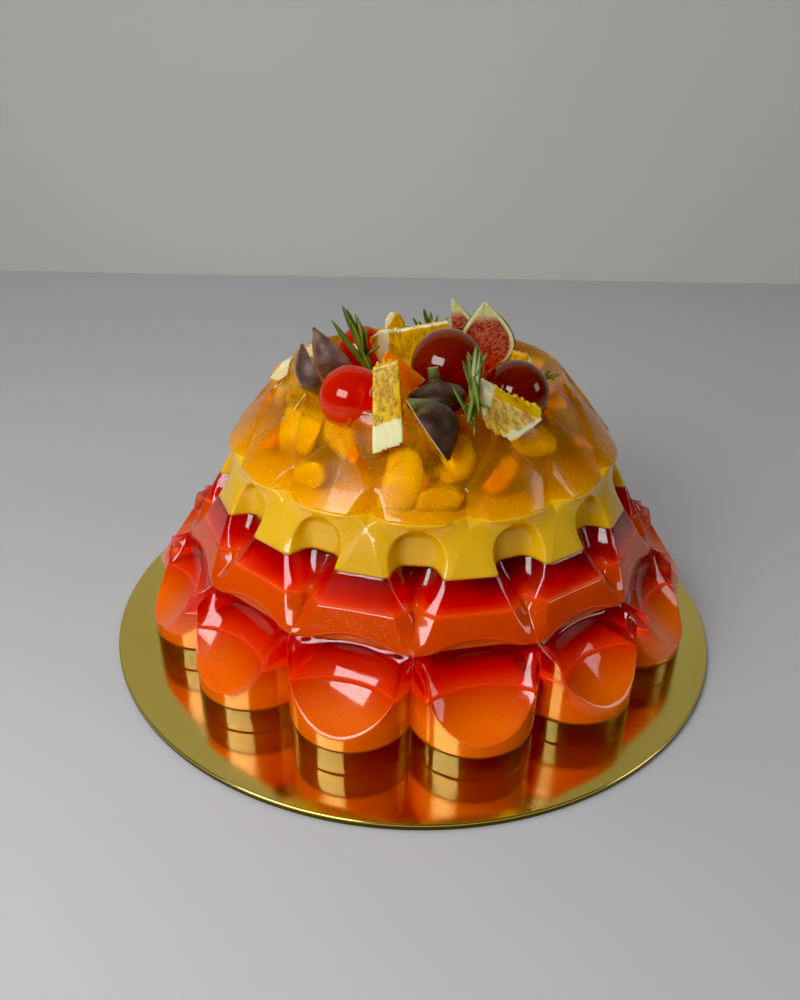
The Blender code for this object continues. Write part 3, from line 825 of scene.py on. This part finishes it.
# %% Orange material
def orange_pulp():
    mat, tree, shader = new_material("orange_pulp", **under_skin(0.55, (1.0, 0.6, 0.15), 0.004),
                                     **coated(0.2, 0.05))
    coords = own_coords(tree)
    fibre = noise_on(tree, coords, 420.0, detail=3.0)
    flesh = drift(tree, coords, 120.0, srgb(250, 164, 0), srgb(255, 196, 24))
    pith = blend(tree, fibre, srgb(236, 222, 150), srgb(253, 247, 206))
    pith_mask = mask(tree, "pith")
    colour = blend(tree, mask(tree, "zest"), blend(tree, pith_mask, flesh, pith), srgb(232, 160, 24))
    feed(tree, shader, Base_Color=colour, Roughness=ramp(tree, pith_mask, 0.0, 1.0, 0.28, 0.5))
    add_relief(tree, shader, fibre, 0.35, 0.0004)
    return mat


PULP = orange_pulp()

# %% Orange pieces
# Each has its near and far cut outlines, the way from rind to core, and its pith zones: a point, the way
# out of the rind, and the depths at which pith starts and ends. A zone that starts at zero has zest
# outside.
ORANGES = {
    "orange_front": (
        ((-19, -76.5, 114), (-6.5, -75.5, 119), (-9.5, -65, 150), (-19.5, -65, 147)),
        ((-18.5, -66, 128), (-7, -66.5, 129), (-10, -55, 147.5), (-19, -55, 145)),
        (-0.1, 0.33, 0.94), (((-12.7, -76, 116.5), (0.35, -0.31, -0.88), 0.0, 11.0),)),
    "orange_right": (
        ((25.5, -71, 125.5), (37, -69, 118), (50, -57, 123.5),
         (29.5, -62, 135), (24, -62, 140), (20.5, -62, 138.5)),
        ((25.5, -65, 130), (37, -63, 122.5), (50, -51, 128),
         (29.5, -56, 138), (24, -56, 141), (20.5, -56, 140)),
        (0.55, -0.2, -0.75), (((20.5, -63, 136), (-0.80, -0.15, 0.58), -9.0, 6.5),
                              ((43.5, -63, 120.7), (0.38, -0.25, -0.89), 0.6, 3.2))),
    "orange_left": (
        ((-61, -22, 127.3), (-65, -22, 124.4), (-69, -22, 125.5), (-67, -22, 129.5), (-59, -22, 135)),
        ((-61, -13, 127.3), (-65, -13, 126), (-69, -13, 126.2), (-67, -13, 129.5), (-59, -13, 134)),
        (0.8, 0.0, -0.3), (((-67.5, -18, 129.0), (-0.75, 0.0, 0.66), 0.0, 40.0),)),
    "orange_between": (
        ((-58, 4, 127.3), (-52, 4, 127.3), (-52, 4, 132), (-53.5, 4, 133), (-57.5, 4, 132)),
        ((-58, 12, 127.3), (-52, 12, 127.3), (-52, 12, 131), (-53.5, 12, 132), (-57.5, 12, 131)),
        (0.4, 0.0, -0.9), (((-56, 8, 132.6), (-0.45, 0.0, 0.89), 0.0, 40.0),)),
    "orange_back": (
        ((-16, -6, 121), (8, -6, 121), (11.5, -6, 145.5), (10, -6, 149.5), (-14.5, -6, 144.5),
         (-21, -6, 144.5), (-25.5, -6, 140.5), (-24.5, -6, 135.5)),
        ((-14, 4, 121), (8, 4, 121), (11.5, 5, 143), (10, 5, 147), (-14.5, 5, 142), (-19, 5, 142),
         (-22, 4, 139), (-20, 4, 135.5)),
        (0.25, 0.0, -1.0), (((-16, -6, 140), (-1.0, 0.0, 0.0), -5.5, -0.5),
                            ((-1, -6, 147.2), (-0.19, 0.0, 0.98), -9.0, 1.0))),
    "orange_small": (
        ((-21, 40, 120.5), (-11, 40, 120.5), (-11, 40, 132.5), (-11.5, 40, 136), (-14, 40, 139.5),
         (-18.5, 40, 140.5), (-21, 40, 136.5)),
        ((-21, 47, 120.5), (-11, 47, 120.5), (-11, 47, 131), (-11.5, 47, 134), (-14, 47, 137.5),
         (-18.5, 47, 138.5), (-21, 47, 134.5)),
        (0.5, 0.0, -0.8), (((-20, 42, 138.5), (-0.85, 0.0, 0.52), -9.0, 3.0),)),
    "orange_far_right": (
        ((38, -12, 120.5), (49, -12, 123.5), (49.5, -12, 133.5), (46, -12, 136.5), (40, -12, 138)),
        ((38, -4, 120.5), (49, -4, 123.5), (49.5, -4, 132.5), (46, -4, 135), (40, -4, 136.5)),
        (-0.6, 0.0, -0.8), (((49.4, -8, 130), (1.0, 0.0, 0.15), 0.0, 1.6),)),
}
SACS = {"Density": 0.36, "Sac_Width": 1.3, "Sac_Length": 2.8, "Sunk": -0.56}
VOXEL = 0.55
ZEST_DEEP, PITH_RAGGED = 0.9, 1.3


def cut_block(name, near, far, rounding=2):
    """A block lofted between two cut outlines, with its edges rounded by a fine remesh."""
    count = len(near)
    faces = [(i, (i + 1) % count, count + (i + 1) % count, count + i) for i in range(count)]
    faces += [tuple(reversed(range(count))), tuple(range(count, 2 * count))]
    obj = new_object(name, mesh_from(name, [*near, *far], faces))
    outward(obj)
    fine = obj.modifiers.new("fine", "REMESH")
    fine.mode = "VOXEL"
    fine.voxel_size = VOXEL
    softer = obj.modifiers.new("softer", "SMOOTH")
    softer.factor = 0.5
    softer.iterations = rounding
    return evaluated(obj)


def mark_rind(obj, zones):
    """Write the pith and zest masks from the depth below the rind."""
    pith, zest = [], []
    for p in points_of(obj):
        ragged = PITH_RAGGED * noise.noise(Vector(p) / 3.1)
        white = outer = 0.0
        for centre, way, first, last in zones:
            depth = -(Vector(p) - Vector(centre)).dot(Vector(way).normalized())
            inside = smooth_step(depth - ragged, last + 0.4, last - 0.4)
            white = max(white, inside * smooth_step(depth, first - 0.5, first + 0.1))
            if first == 0.0:
                outer = max(outer, smooth_step(depth, ZEST_DEEP + 0.3, ZEST_DEEP - 0.3))
        pith.append(white)
        zest.append(outer)
    add_floats(obj, "pith", pith)
    add_floats(obj, "zest", zest)


for name, (near, far, grain, zones) in ORANGES.items():
    piece = cut_block(name + "_piece", near, far)
    mark_rind(piece, zones)
    run_tree(piece, sac_tree, **SACS, Grain=grain, Seed=len(name), Pulp=PULP)
    declare(settle(piece, PULP), "orange_pulp", name)

# %% [markdown]
# The peeled segment is whole fruit without a cut: a smooth, glossy, deep orange wedge under its thin skin.
# Segments of the same fruit are set in the amber layer, where they show as blurred orange shapes. One
# crescent is modelled, and Geometry Nodes place a copy of it on each marked point, turned and sized by that
# point's attributes.


# %% Mandarin material
def mandarin(name, light, dark, gloss):
    mat, tree, shader = new_material(name, Roughness=0.28, **under_skin(0.6, (1.0, 0.45, 0.1), 0.005),
                                     **coated(gloss, 0.04))
    coords = own_coords(tree)
    feed(tree, shader, Base_Color=drift(tree, coords, 90.0, dark, light, detail=3.0))
    add_relief(tree, shader, noise_on(tree, coords, 300.0, detail=2.0), 0.3, 0.0005)
    return mat


MANDARIN_LOOK = mandarin("mandarin_flesh", srgb(248, 150, 24), srgb(236, 112, 10), 0.8)
SUNK_LOOK = mandarin("sunk_mandarin", srgb(248, 166, 40), srgb(236, 128, 12), 0.0)
PALE_LOOK = mandarin("sunk_orange", srgb(238, 206, 84), srgb(222, 180, 40), 0.0)

# %% Mandarin segment on the crown
MANDARIN_NEAR = ((-5, -42, 129), (2, -41, 133.5), (-10.5, -42, 143.5), (-15.5, -42, 146.5), (-18, -42, 142.5))
MANDARIN_FAR = ((-8, -35, 128), (-5, -35, 133), (-10.5, -35, 141), (-15.5, -35, 144), (-18, -35, 140))
segment = cut_block("mandarin_segment", MANDARIN_NEAR, MANDARIN_FAR, rounding=6)
declare(settle(segment, MANDARIN_LOOK), "mandarin_flesh", "mandarin_piece")


# %% Crescent of sunk fruit
def crescent(name, long=20.0, high=14.0, wide=13.0, ways=16, sides=12):
    """A peeled segment: a half moon with a straight inner edge and a round back."""
    verts = [(-long / 2, 0, 0)]
    for i in range(1, ways):
        u = math.pi * i / ways
        back = high * math.sin(u) ** 0.8
        thick = wide / 2 * math.sin(u) ** 0.7
        for k in range(sides):
            a = math.tau * k / sides
            lift = 0.5 + 0.5 * math.cos(a)
            verts.append((-long / 2 * math.cos(u), thick * math.sin(a) * (0.35 + 0.65 * lift), back * lift))
    verts.append((long / 2, 0, 0))
    tip = len(verts) - 1
    faces = [(0, 1 + (k + 1) % sides, 1 + k) for k in range(sides)]
    for i in range(ways - 2):
        for k in range(sides):
            a, b = 1 + i * sides + k, 1 + i * sides + (k + 1) % sides
            faces.append((a, b, b + sides, a + sides))
    foot = 1 + (ways - 2) * sides
    faces += [(foot + k, foot + (k + 1) % sides, tip) for k in range(sides)]
    return new_object(name, mesh_from(name, verts, faces))


# %% Tree that places copies on marked points
place_tree, given, end = new_tree("place_copies", (
    ("Geometry", "Geometry"), ("Copy", "Object"), ("Look", "Material")))
way, face, size = (named_values(place_tree, label, "FLOAT_VECTOR") for label in ("way", "face", "size"))
pattern = add_node(place_tree, "GeometryNodeObjectInfo", Object=given["Copy"]).outputs["Geometry"]
copies = copies_on(place_tree, given["Geometry"], pattern, lie_along(place_tree, way, face, "Y"), size)
close_tree(place_tree, end, real_mesh(place_tree, copies), given["Look"])


def add_vectors(mesh, name, values):
    layer = mesh.attributes.new(name, "FLOAT_VECTOR", "POINT")
    layer.data.foreach_set("vector", np.asarray(values, dtype=np.float32).ravel())


def copies_at(name, spots, pattern, mat):
    """A copy of the pattern at each spot: its place, the ways of its Z and Y axes, and its size."""
    mesh = mesh_from(name, [spot[0] for spot in spots], [])
    for label, k in (("way", 1), ("face", 2), ("size", 3)):
        add_vectors(mesh, label, [spot[k] for spot in spots])
    obj = new_object(name, mesh)
    return run_tree(obj, place_tree, Copy=pattern, Look=mat)


# %% Fruit set in the amber layer
# The spots that show in front are listed, and a seeded rule fills the rest of the ring behind them.
FRONT_FRUIT = ((-49, -35, 116), (-24, -66, 102), (-4, -71, 99), (31, -64, 102), (71, -34, 100),
               (-67, -36, 101), (-38, -54, 108), (9, -66, 104), (51, -50, 104), (53, -31, 114),
               (17, -74, 98), (-50, -60, 97))


FRUIT_HEIGHTS, FRUIT_INNER, FRUIT_TALL = (96.5, 113.0), 44.0, 8.0
FRONT_NEAR, FRONT_HALF, THINNED = 30, 75, 0.7
OVER_YELLOW, UNDER_DISH, BELOW_SKIN = 0.4, 2.5, 4.0


def fruit_spots(seed, placed, ring, small, large):
    """The placed spots and a ring of drawn ones, thinned out in front, each with its turn and size."""
    draw = random.Random(seed)
    places = list(placed)
    while len(places) < len(placed) + ring:
        a = draw.uniform(0, math.tau)
        z = draw.uniform(*FRUIT_HEIGHTS)
        r = draw.uniform(FRUIT_INNER, along(PANEL, z + FRUIT_TALL) - FRUIT_TALL)
        in_front = r * math.cos(a) < -FRONT_NEAR and abs(r * math.sin(a)) < FRONT_HALF
        if in_front and draw.random() < THINNED:
            continue
        places.append((r * math.sin(a), r * math.cos(a), z))
    spots = []
    for place in places:
        way = Vector((draw.uniform(-1, 1), draw.uniform(-1, 1), draw.uniform(-0.3, 0.9)))
        face = Vector((draw.uniform(-1, 1), draw.uniform(-1, 1), draw.uniform(-1, 1)))
        scale = draw.uniform(small, large)
        spots.append((place, way, face, (scale, scale, scale)))
    return spots


def keep_inside(obj):
    """Hold the fruit off the skin, the yellow layer and the dish."""
    points = points_of(obj)
    points[:, 2] = np.clip(points[:, 2], LAYERS[-1][1] + OVER_YELLOW, DISH_Z - UNDER_DISH)
    reach = np.hypot(points[:, 0], points[:, 1])
    skin = (*STEM, (CROWN_Z, CROWN_R))
    room = np.interp(points[:, 2], [p[0] for p in skin], [p[1] for p in skin]) - BELOW_SKIN
    points[:, :2] *= np.minimum(1.0, room / reach)[:, None]
    move_points(obj, points)


pattern = crescent("crescent")
outward(pattern)
for name, seed, placed, ring, small, large, mat in (
        ("sunk_mandarin", 11, FRONT_FRUIT[:6], 10, 0.7, 1.0, SUNK_LOOK),
        ("sunk_orange", 5, FRONT_FRUIT[6:], 60, 1.0, 1.6, PALE_LOOK)):
    sunk = copies_at(name, fruit_spots(seed, placed, ring, small, large), pattern, mat)
    keep_inside(sunk)
    declare(settle(sunk, mat), "mandarin_flesh")
bpy.data.objects.remove(pattern)

# %% [markdown]
# A fig is pear shaped with a dark, dusty skin that turns green near its stem. Cut open it has a thin green
# edge, a cream rim and red flesh full of pale seeds. Each piece is a slice of that body, swept round its
# axis from one knife face to the other. The distance from the skin is kept as an attribute, so the rim
# follows the cut. Seeds are placed by Geometry Nodes on the flesh.

# %% Fig dimensions
FIG = ((0.0, 0.10), (0.08, 0.5), (0.22, 0.86), (0.38, 1.0),
       (0.55, 0.92), (0.70, 0.70), (0.84, 0.42), (0.95, 0.16), (1.0, 0.04))
NECKED = ((0.0, 0.3), (0.1, 0.78), (0.25, 1.0), (0.45, 0.99),
          (0.58, 0.82), (0.65, 0.45), (0.71, 0.21), (1.0, 0.18))
LEAF = ((0.0, 0.35), (0.15, 0.75), (0.35, 1.0), (0.55, 0.9), (0.75, 0.6), (0.9, 0.26), (1.0, 0.03))
SLICE = ((0.0, 0.05), (0.12, 0.5), (0.28, 0.88), (0.44, 1.0),
         (0.62, 0.92), (0.80, 0.66), (0.93, 0.3), (1.0, 0.06))
FIGS = (
    ("fig_left", (-41, -33, 122), (-52.5, -29, 144.5), (-0.6, -0.9, 0.0), 9.0, 90, SLICE, True, 0.5),
    ("fig_left_back", (-34, -7, 118), (-51, -6, 145), (-0.3, -1.0, 0.2), 10.0, 120, LEAF, True, 1.0),
    ("fig_centre", (6.5, -50, 122), (4.0, -48, 142), (0.2, -1.0, 0.0), 12.5, 170, NECKED, False, 0.15),
    ("fig_front", (11, -78, 114), (-6, -65, 134), (0.75, -0.55, 0.35), 13.0, 100, SLICE, False, 0.0),
    ("fig_back_left", (14, 23, 121), (12, 23, 152), (0.7, 0.7, 0.0), 13.5, 90, FIG, False, 0.3),
    ("fig_back_right", (30, 9, 121), (27, 9, 154.5), (0.0, 1.0, 0.0), 14.0, 180, FIG, False, 0.3),
)
FIG_ROWS, SKIN_COLUMNS, CUT_COLUMNS = 64, 40, 14
CUT_BULGE, CUT_BUMP, CUT_BUMP_SIZE = 0.5, 0.22, 1.6
SKIN_BUMP, SKIN_BUMP_SIZE = 0.25, 4.0


# %% Fig body
def fig_width(profile, u):
    """Half width of a fig, rounded through its guide points."""
    near = [along(profile, min(1.0, max(0.0, u + d))) for d in (-0.05, -0.025, 0, 0.025, 0.05)]
    return sum(near) / len(near)


def fig_piece(name, foot, tip, skin, radius, sweep, profile, stem_down, bloom):
    """A slice of fig: skin between two knife faces, which meet on the axis."""
    foot, tip = Vector(foot), Vector(tip)
    axis = tip - foot
    out = Vector(skin)
    out = (out - axis * out.dot(axis) / axis.length_squared).normalized()
    side = axis.normalized().cross(out)
    turns = [math.radians(sweep) * (k / SKIN_COLUMNS - 0.5) for k in range(SKIN_COLUMNS + 1)]
    verts, from_skin, on_skin, up = [], [], [], []

    def put(u, a, share_out, skin_point):
        width = radius * fig_width(profile, u)
        way = out * math.cos(a) + side * math.sin(a)
        p = foot + axis * u + way * width * share_out
        if skin_point:
            p += way * SKIN_BUMP * noise.noise(p / SKIN_BUMP_SIZE + Vector((radius, 0, 0)))
        else:
            plane = side * math.cos(a) - out * math.sin(a)
            bulge = CUT_BULGE * math.sin(math.pi * share_out) * (1 if a > 0 else -1)
            p += plane * (bulge + CUT_BUMP * noise.noise(p / CUT_BUMP_SIZE)) * min(1.0, 6 * (1 - share_out))
        verts.append(p)
        from_skin.append(width * (1 - share_out) * (0 if skin_point else 1))
        on_skin.append(1.0 if skin_point else 0.0)
        up.append(1 - u if stem_down else u)

    for i in range(FIG_ROWS + 1):
        u = i / FIG_ROWS
        for k in range(CUT_COLUMNS):
            put(u, turns[0], k / CUT_COLUMNS, False)
        for a in turns:
            put(u, a, 1.0, True)
        for k in range(CUT_COLUMNS - 1, 0, -1):
            put(u, turns[-1], k / CUT_COLUMNS, False)
    faces = tube_faces(FIG_ROWS + 1, 2 * CUT_COLUMNS + SKIN_COLUMNS)
    obj = new_object(name + "_piece", mesh_from(name, verts, faces))
    masks = {"from_skin": from_skin, "skin": on_skin, "up": up, "bloom": [bloom] * len(verts)}
    for label, values in masks.items():
        add_floats(obj, label, values)
    outward(obj)
    return obj


# %% Fig material
def fig_look():
    mat, tree, shader = new_material("fig_skin", Sheen_Weight=0.1, **under_skin(0.15, (1.0, 0.4, 0.3), 0.002),
                                     **coated(0.06, 0.2))
    coords = own_coords(tree)
    from_skin, skin, up = mask(tree, "from_skin"), mask(tree, "skin"), mask(tree, "up")
    seed, dusty = mask(tree, "seed"), mask(tree, "bloom")
    cloud = noise_on(tree, coords, 160.0, detail=4.0)
    dark = blend(tree, dusty, srgb(38, 16, 16), srgb(92, 60, 54))
    pale = blend(tree, dusty, srgb(84, 54, 48), srgb(150, 116, 100))
    purple = blend(tree, ramp(tree, cloud, 0.4, 0.8), dark, pale)
    patchy = work_out(tree, "ShaderNodeMath", "MULTIPLY_ADD", cloud, 0.5, up)
    skin_tone = blend(tree, ramp(tree, patchy, 0.92, 1.16), purple, srgb(108, 112, 52))
    pulp = noise_on(tree, coords, 520.0, detail=4.0)
    flesh = blend(tree, ramp(tree, pulp, 0.4, 0.62), srgb(140, 48, 40), srgb(196, 100, 82))
    rim = blend(tree, ramp(tree, from_skin, 0.4, 0.9), srgb(120, 140, 56), srgb(230, 222, 168))
    inner = blend(tree, ramp(tree, from_skin, 1.9, 3.0), rim, flesh)
    neck = blend(tree, ramp(tree, up, 0.72, 0.84), inner, srgb(214, 212, 150))
    cut = blend(tree, seed, neck, srgb(204, 138, 96))
    feed(tree, shader, Base_Color=blend(tree, skin, cut, skin_tone),
         Roughness=ramp(tree, skin, 0.0, 1.0, 0.3, 0.55))
    add_relief(tree, shader, pulp, 0.4, 0.0005)
    return mat


FIG_LOOK = fig_look()

# %% Tree that sets seeds in the flesh
SEEDS_IN, SEEDS_UP = 2.6, 0.74
seed_tree, given, end = new_tree("fig_seeds", (
    ("Geometry", "Geometry"), ("Density", "Float"), ("Seed Size", "Float"), ("Seed", "Int"),
    ("Look", "Material")))
depth_in, height_up = named_values(seed_tree, "from_skin"), named_values(seed_tree, "up")
in_flesh = work_out(seed_tree, "FunctionNodeCompare", "GREATER_THAN", depth_in, SEEDS_IN)
below_neck = work_out(seed_tree, "FunctionNodeCompare", "LESS_THAN", height_up, SEEDS_UP)
seedy = work_out(seed_tree, "FunctionNodeBooleanMath", "AND", in_flesh, below_neck)
spots = add_node(seed_tree, "GeometryNodeDistributePointsOnFaces", {"distribute_method": "POISSON"},
                 Mesh=given["Geometry"], Selection=seedy, Distance_Min=0.9, Density_Max=given["Density"],
                 Seed=given["Seed"])
sow = add_node(seed_tree, "GeometryNodeMeshUVSphere", Segments=6, Rings=5, Radius=0.5)
lean = add_node(seed_tree, "FunctionNodeRandomValue", {"data_type": "FLOAT_VECTOR"}, _0=(0, 0, 0),
                _1=(6.28, 6.28, 6.28))
turn = add_node(seed_tree, "FunctionNodeEulerToRotation", _0=lean)
shape = work_out(seed_tree, "ShaderNodeVectorMath", "SCALE", (0.75, 0.75, 1.5), Scale=given["Seed Size"])
grains = real_mesh(seed_tree, copies_on(seed_tree, spots, sow, turn, shape))
marked = add_node(seed_tree, "GeometryNodeStoreNamedAttribute", {"data_type": "FLOAT", "domain": "POINT"},
                  Geometry=grains, Name="seed", Value=1.0)
close_tree(seed_tree, end, joined(seed_tree, marked.outputs[0], given["Geometry"]), given["Look"])

# %% Figs
for number, (name, *shape) in enumerate(FIGS):
    piece = fig_piece(name, *shape)
    run_tree(piece, seed_tree, Density=0.9, Seed_Size=0.7, Seed=number, Look=FIG_LOOK)
    declare(settle(piece, FIG_LOOK), "fig_skin", name)

# %% [markdown]
# Rosemary has stiff narrow leaves with rolled edges and a groove down the middle. One leaf is modelled with
# a few dozen faces, and the tree above puts a copy at each spot along the stems, turned and stretched to
# its own tip.

# %% Rosemary leaf
LEAF_ACROSS = ((-1.0, 0.0), (-0.55, 0.42), (0.0, 0.2), (0.55, 0.42),
               (1.0, 0.0), (0.5, -0.34), (0.0, -0.12), (-0.5, -0.34))
LEAF_ALONG = ((0.0, 0.3), (0.06, 0.62), (0.22, 0.92), (0.5, 1.0), (0.76, 0.88), (0.92, 0.56), (1.0, 0.12))
GROOVE = 2.5


def rosemary_leaf():
    verts = [(x * half / 2, y * half / 2, u) for u, half in LEAF_ALONG for x, y in LEAF_ACROSS]
    leaf = new_object("leaf", mesh_from("leaf", verts, tube_faces(len(LEAF_ALONG), len(LEAF_ACROSS))))
    groove = [1 - min(1.0, abs(x) * GROOVE) for x, y in LEAF_ACROSS]
    add_floats(leaf, "groove", groove * len(LEAF_ALONG))
    outward(leaf)
    return leaf


def rosemary_green():
    mat, tree, shader = new_material("rosemary_leaf", Roughness=0.42, **coated(0.1, 0.2),
                                     **under_skin(0.1, (0.4, 1.0, 0.2), 0.001))
    coords = own_coords(tree)
    tone = drift(tree, coords, 130.0, srgb(58, 72, 18), srgb(104, 118, 42))
    feed(tree, shader, Base_Color=blend(tree, mask(tree, "groove"), tone, srgb(134, 150, 80)))
    add_relief(tree, shader, noise_on(tree, coords, 900.0), 0.3, 0.0002)
    return mat


# %% Rosemary sprigs
SPRIGS = (
    ("rosemary_left", (-22, -17, 124), (-31, -15, 147), 2.9,
     ((-41.5, -16, 151.5), (-20, -17, 140.5), (-36.5, -16, 158), (-28, -18, 145), (-31, -14, 154),
      (-33, -17, 152), (-39.5, -15, 147), (-26, -15, 149), (-34.5, -15, 156), (-29.5, -15.5, 152))),
    ("rosemary_front", (21, -76, 124), (19, -59, 149), 2.8,
     ((11.5, -66, 141.5), (26.5, -77, 136), (22, -78, 135), (17, -70, 135), (25, -58, 152), (17.5, -57, 152),
      (20.5, -57, 154), (14, -68, 137), (15.5, -60, 149), (22, -58, 152.5), (18, -79, 131))),
    ("rosemary_back", (3, 33, 122), (1, 32, 138), 2.4,
     ((-7, 32, 140.5), (11, 31, 141), (-4, 34, 138), (5.5, 32, 142),
      (-1.5, 31, 145), (8, 33, 139), (2, 33, 143))),
    ("rosemary_right", (50, -21, 128), (57, -20, 130.5), 1.9,
     ((60.5, -19, 130.5), (58, -23, 129.5), (56, -18, 132))),
)
STEM_WIDTH, FIRST_LEAF, LEAF_SPAN = 1.5, 0.12, 0.75


def sprig_spots(foot, head, width, tips):
    foot, head = Vector(foot), Vector(head)
    upright = (head - foot).normalized()
    spots = [(foot, head - foot, (0, -1, 0), (STEM_WIDTH, STEM_WIDTH, (head - foot).length))]
    for k, tip in enumerate(tips):
        start = foot.lerp(head, FIRST_LEAF + LEAF_SPAN * (k * 5 % len(tips)) / len(tips))
        way = Vector(tip) - start
        face = upright - way.normalized() * upright.dot(way.normalized()) + Vector((0.05, -0.35, 0.1))
        spots.append((start, way, face, (width, width, way.length)))
    return spots


leaf = rosemary_leaf()
GREEN = rosemary_green()
for name, foot, head, width, tips in SPRIGS:
    sprig = copies_at(name + "_sprig", sprig_spots(foot, head, width, tips), leaf, GREEN)
    declare(settle(sprig, GREEN), "rosemary_leaf", name)
bpy.data.objects.remove(leaf)

# %% [markdown]
# The room is plain: a pale floor, a pale wall behind and a soft window up to the left of the camera. Its
# shape is what shines on the balls. A weaker window stands to the right, and a ceiling light behind gives a
# soft fill without a reflection of its own. The world is dim. A raised black level deepens the darkest
# tones, most of all the blue, as in the photograph.

# %% Floor and wall
REACH, WALL_BEHIND, WALL_FOOT, WALL_TALL = 3.0, 0.75, -0.1, 3.0


def plain_sheet(name, corners, mat):
    return settle(new_object(name, mesh_from(name, corners, [(0, 1, 2, 3)])), mat, Matrix.Identity(4))


floor_look = new_material("stage_floor", Base_Color=srgb(194, 195, 198), Roughness=0.5)[0]
wall_look = new_material("stage_wall", Base_Color=srgb(226, 225, 217), Roughness=0.8)[0]
floor_corners = [(-REACH, -REACH, 0), (REACH, -REACH, 0), (REACH, WALL_BEHIND, 0), (-REACH, WALL_BEHIND, 0)]
wall_corners = [(-REACH, WALL_BEHIND, WALL_FOOT), (REACH, WALL_BEHIND, WALL_FOOT),
                (REACH, WALL_BEHIND, WALL_TALL), (-REACH, WALL_BEHIND, WALL_TALL)]
floor = plain_sheet("stage_floor", floor_corners, floor_look)
wall = plain_sheet("stage_wall", wall_corners, wall_look)


# %% Light
AIM = Vector((0, 0, 0.08))
ROOM_COLOUR, ROOM_LIGHT = (0.80, 0.82, 0.85, 1), 0.12
BLACK_LEVEL = (0.008, 0.010, 0.014)


def soft_light(name, azimuth, elevation, distance, width, tall, power, mirrored=True):
    """A soft light that faces the jelly. Its azimuth is measured from the front towards the right."""
    data = bpy.data.lights.new(name, "AREA")
    data.shape = "RECTANGLE"
    data.size = width
    data.size_y = tall
    data.energy = power
    obj = new_object(name, data)
    a, e = math.radians(azimuth), math.radians(elevation)
    back = Vector((math.sin(a) * math.cos(e), -math.cos(a) * math.cos(e), math.sin(e)))
    obj.location = AIM + back * distance
    obj.rotation_euler = (-back).to_track_quat("-Z", "Y").to_euler()
    obj.visible_camera = False
    obj.visible_glossy = mirrored
    return obj


soft_light("window", -37, 32, 0.8, 0.50, 0.305, 4.5)
soft_light("right_window", 78, 24, 1.6, 0.5, 0.5, 2.6)
soft_light("ceiling", -125, 66, 1.6, 1.5, 1.5, 9.5, mirrored=False)
world = bpy.data.worlds.new("room")
bpy.context.scene.world = world
world.use_nodes = True
background = world.node_tree.nodes["Background"]
background.inputs["Color"].default_value = ROOM_COLOUR
background.inputs["Strength"].default_value = ROOM_LIGHT
view = bpy.context.scene.view_settings
view.view_transform = "Standard"
view.use_curve_mapping = True
view.curve_mapping.black_level = BLACK_LEVEL
view.curve_mapping.update()
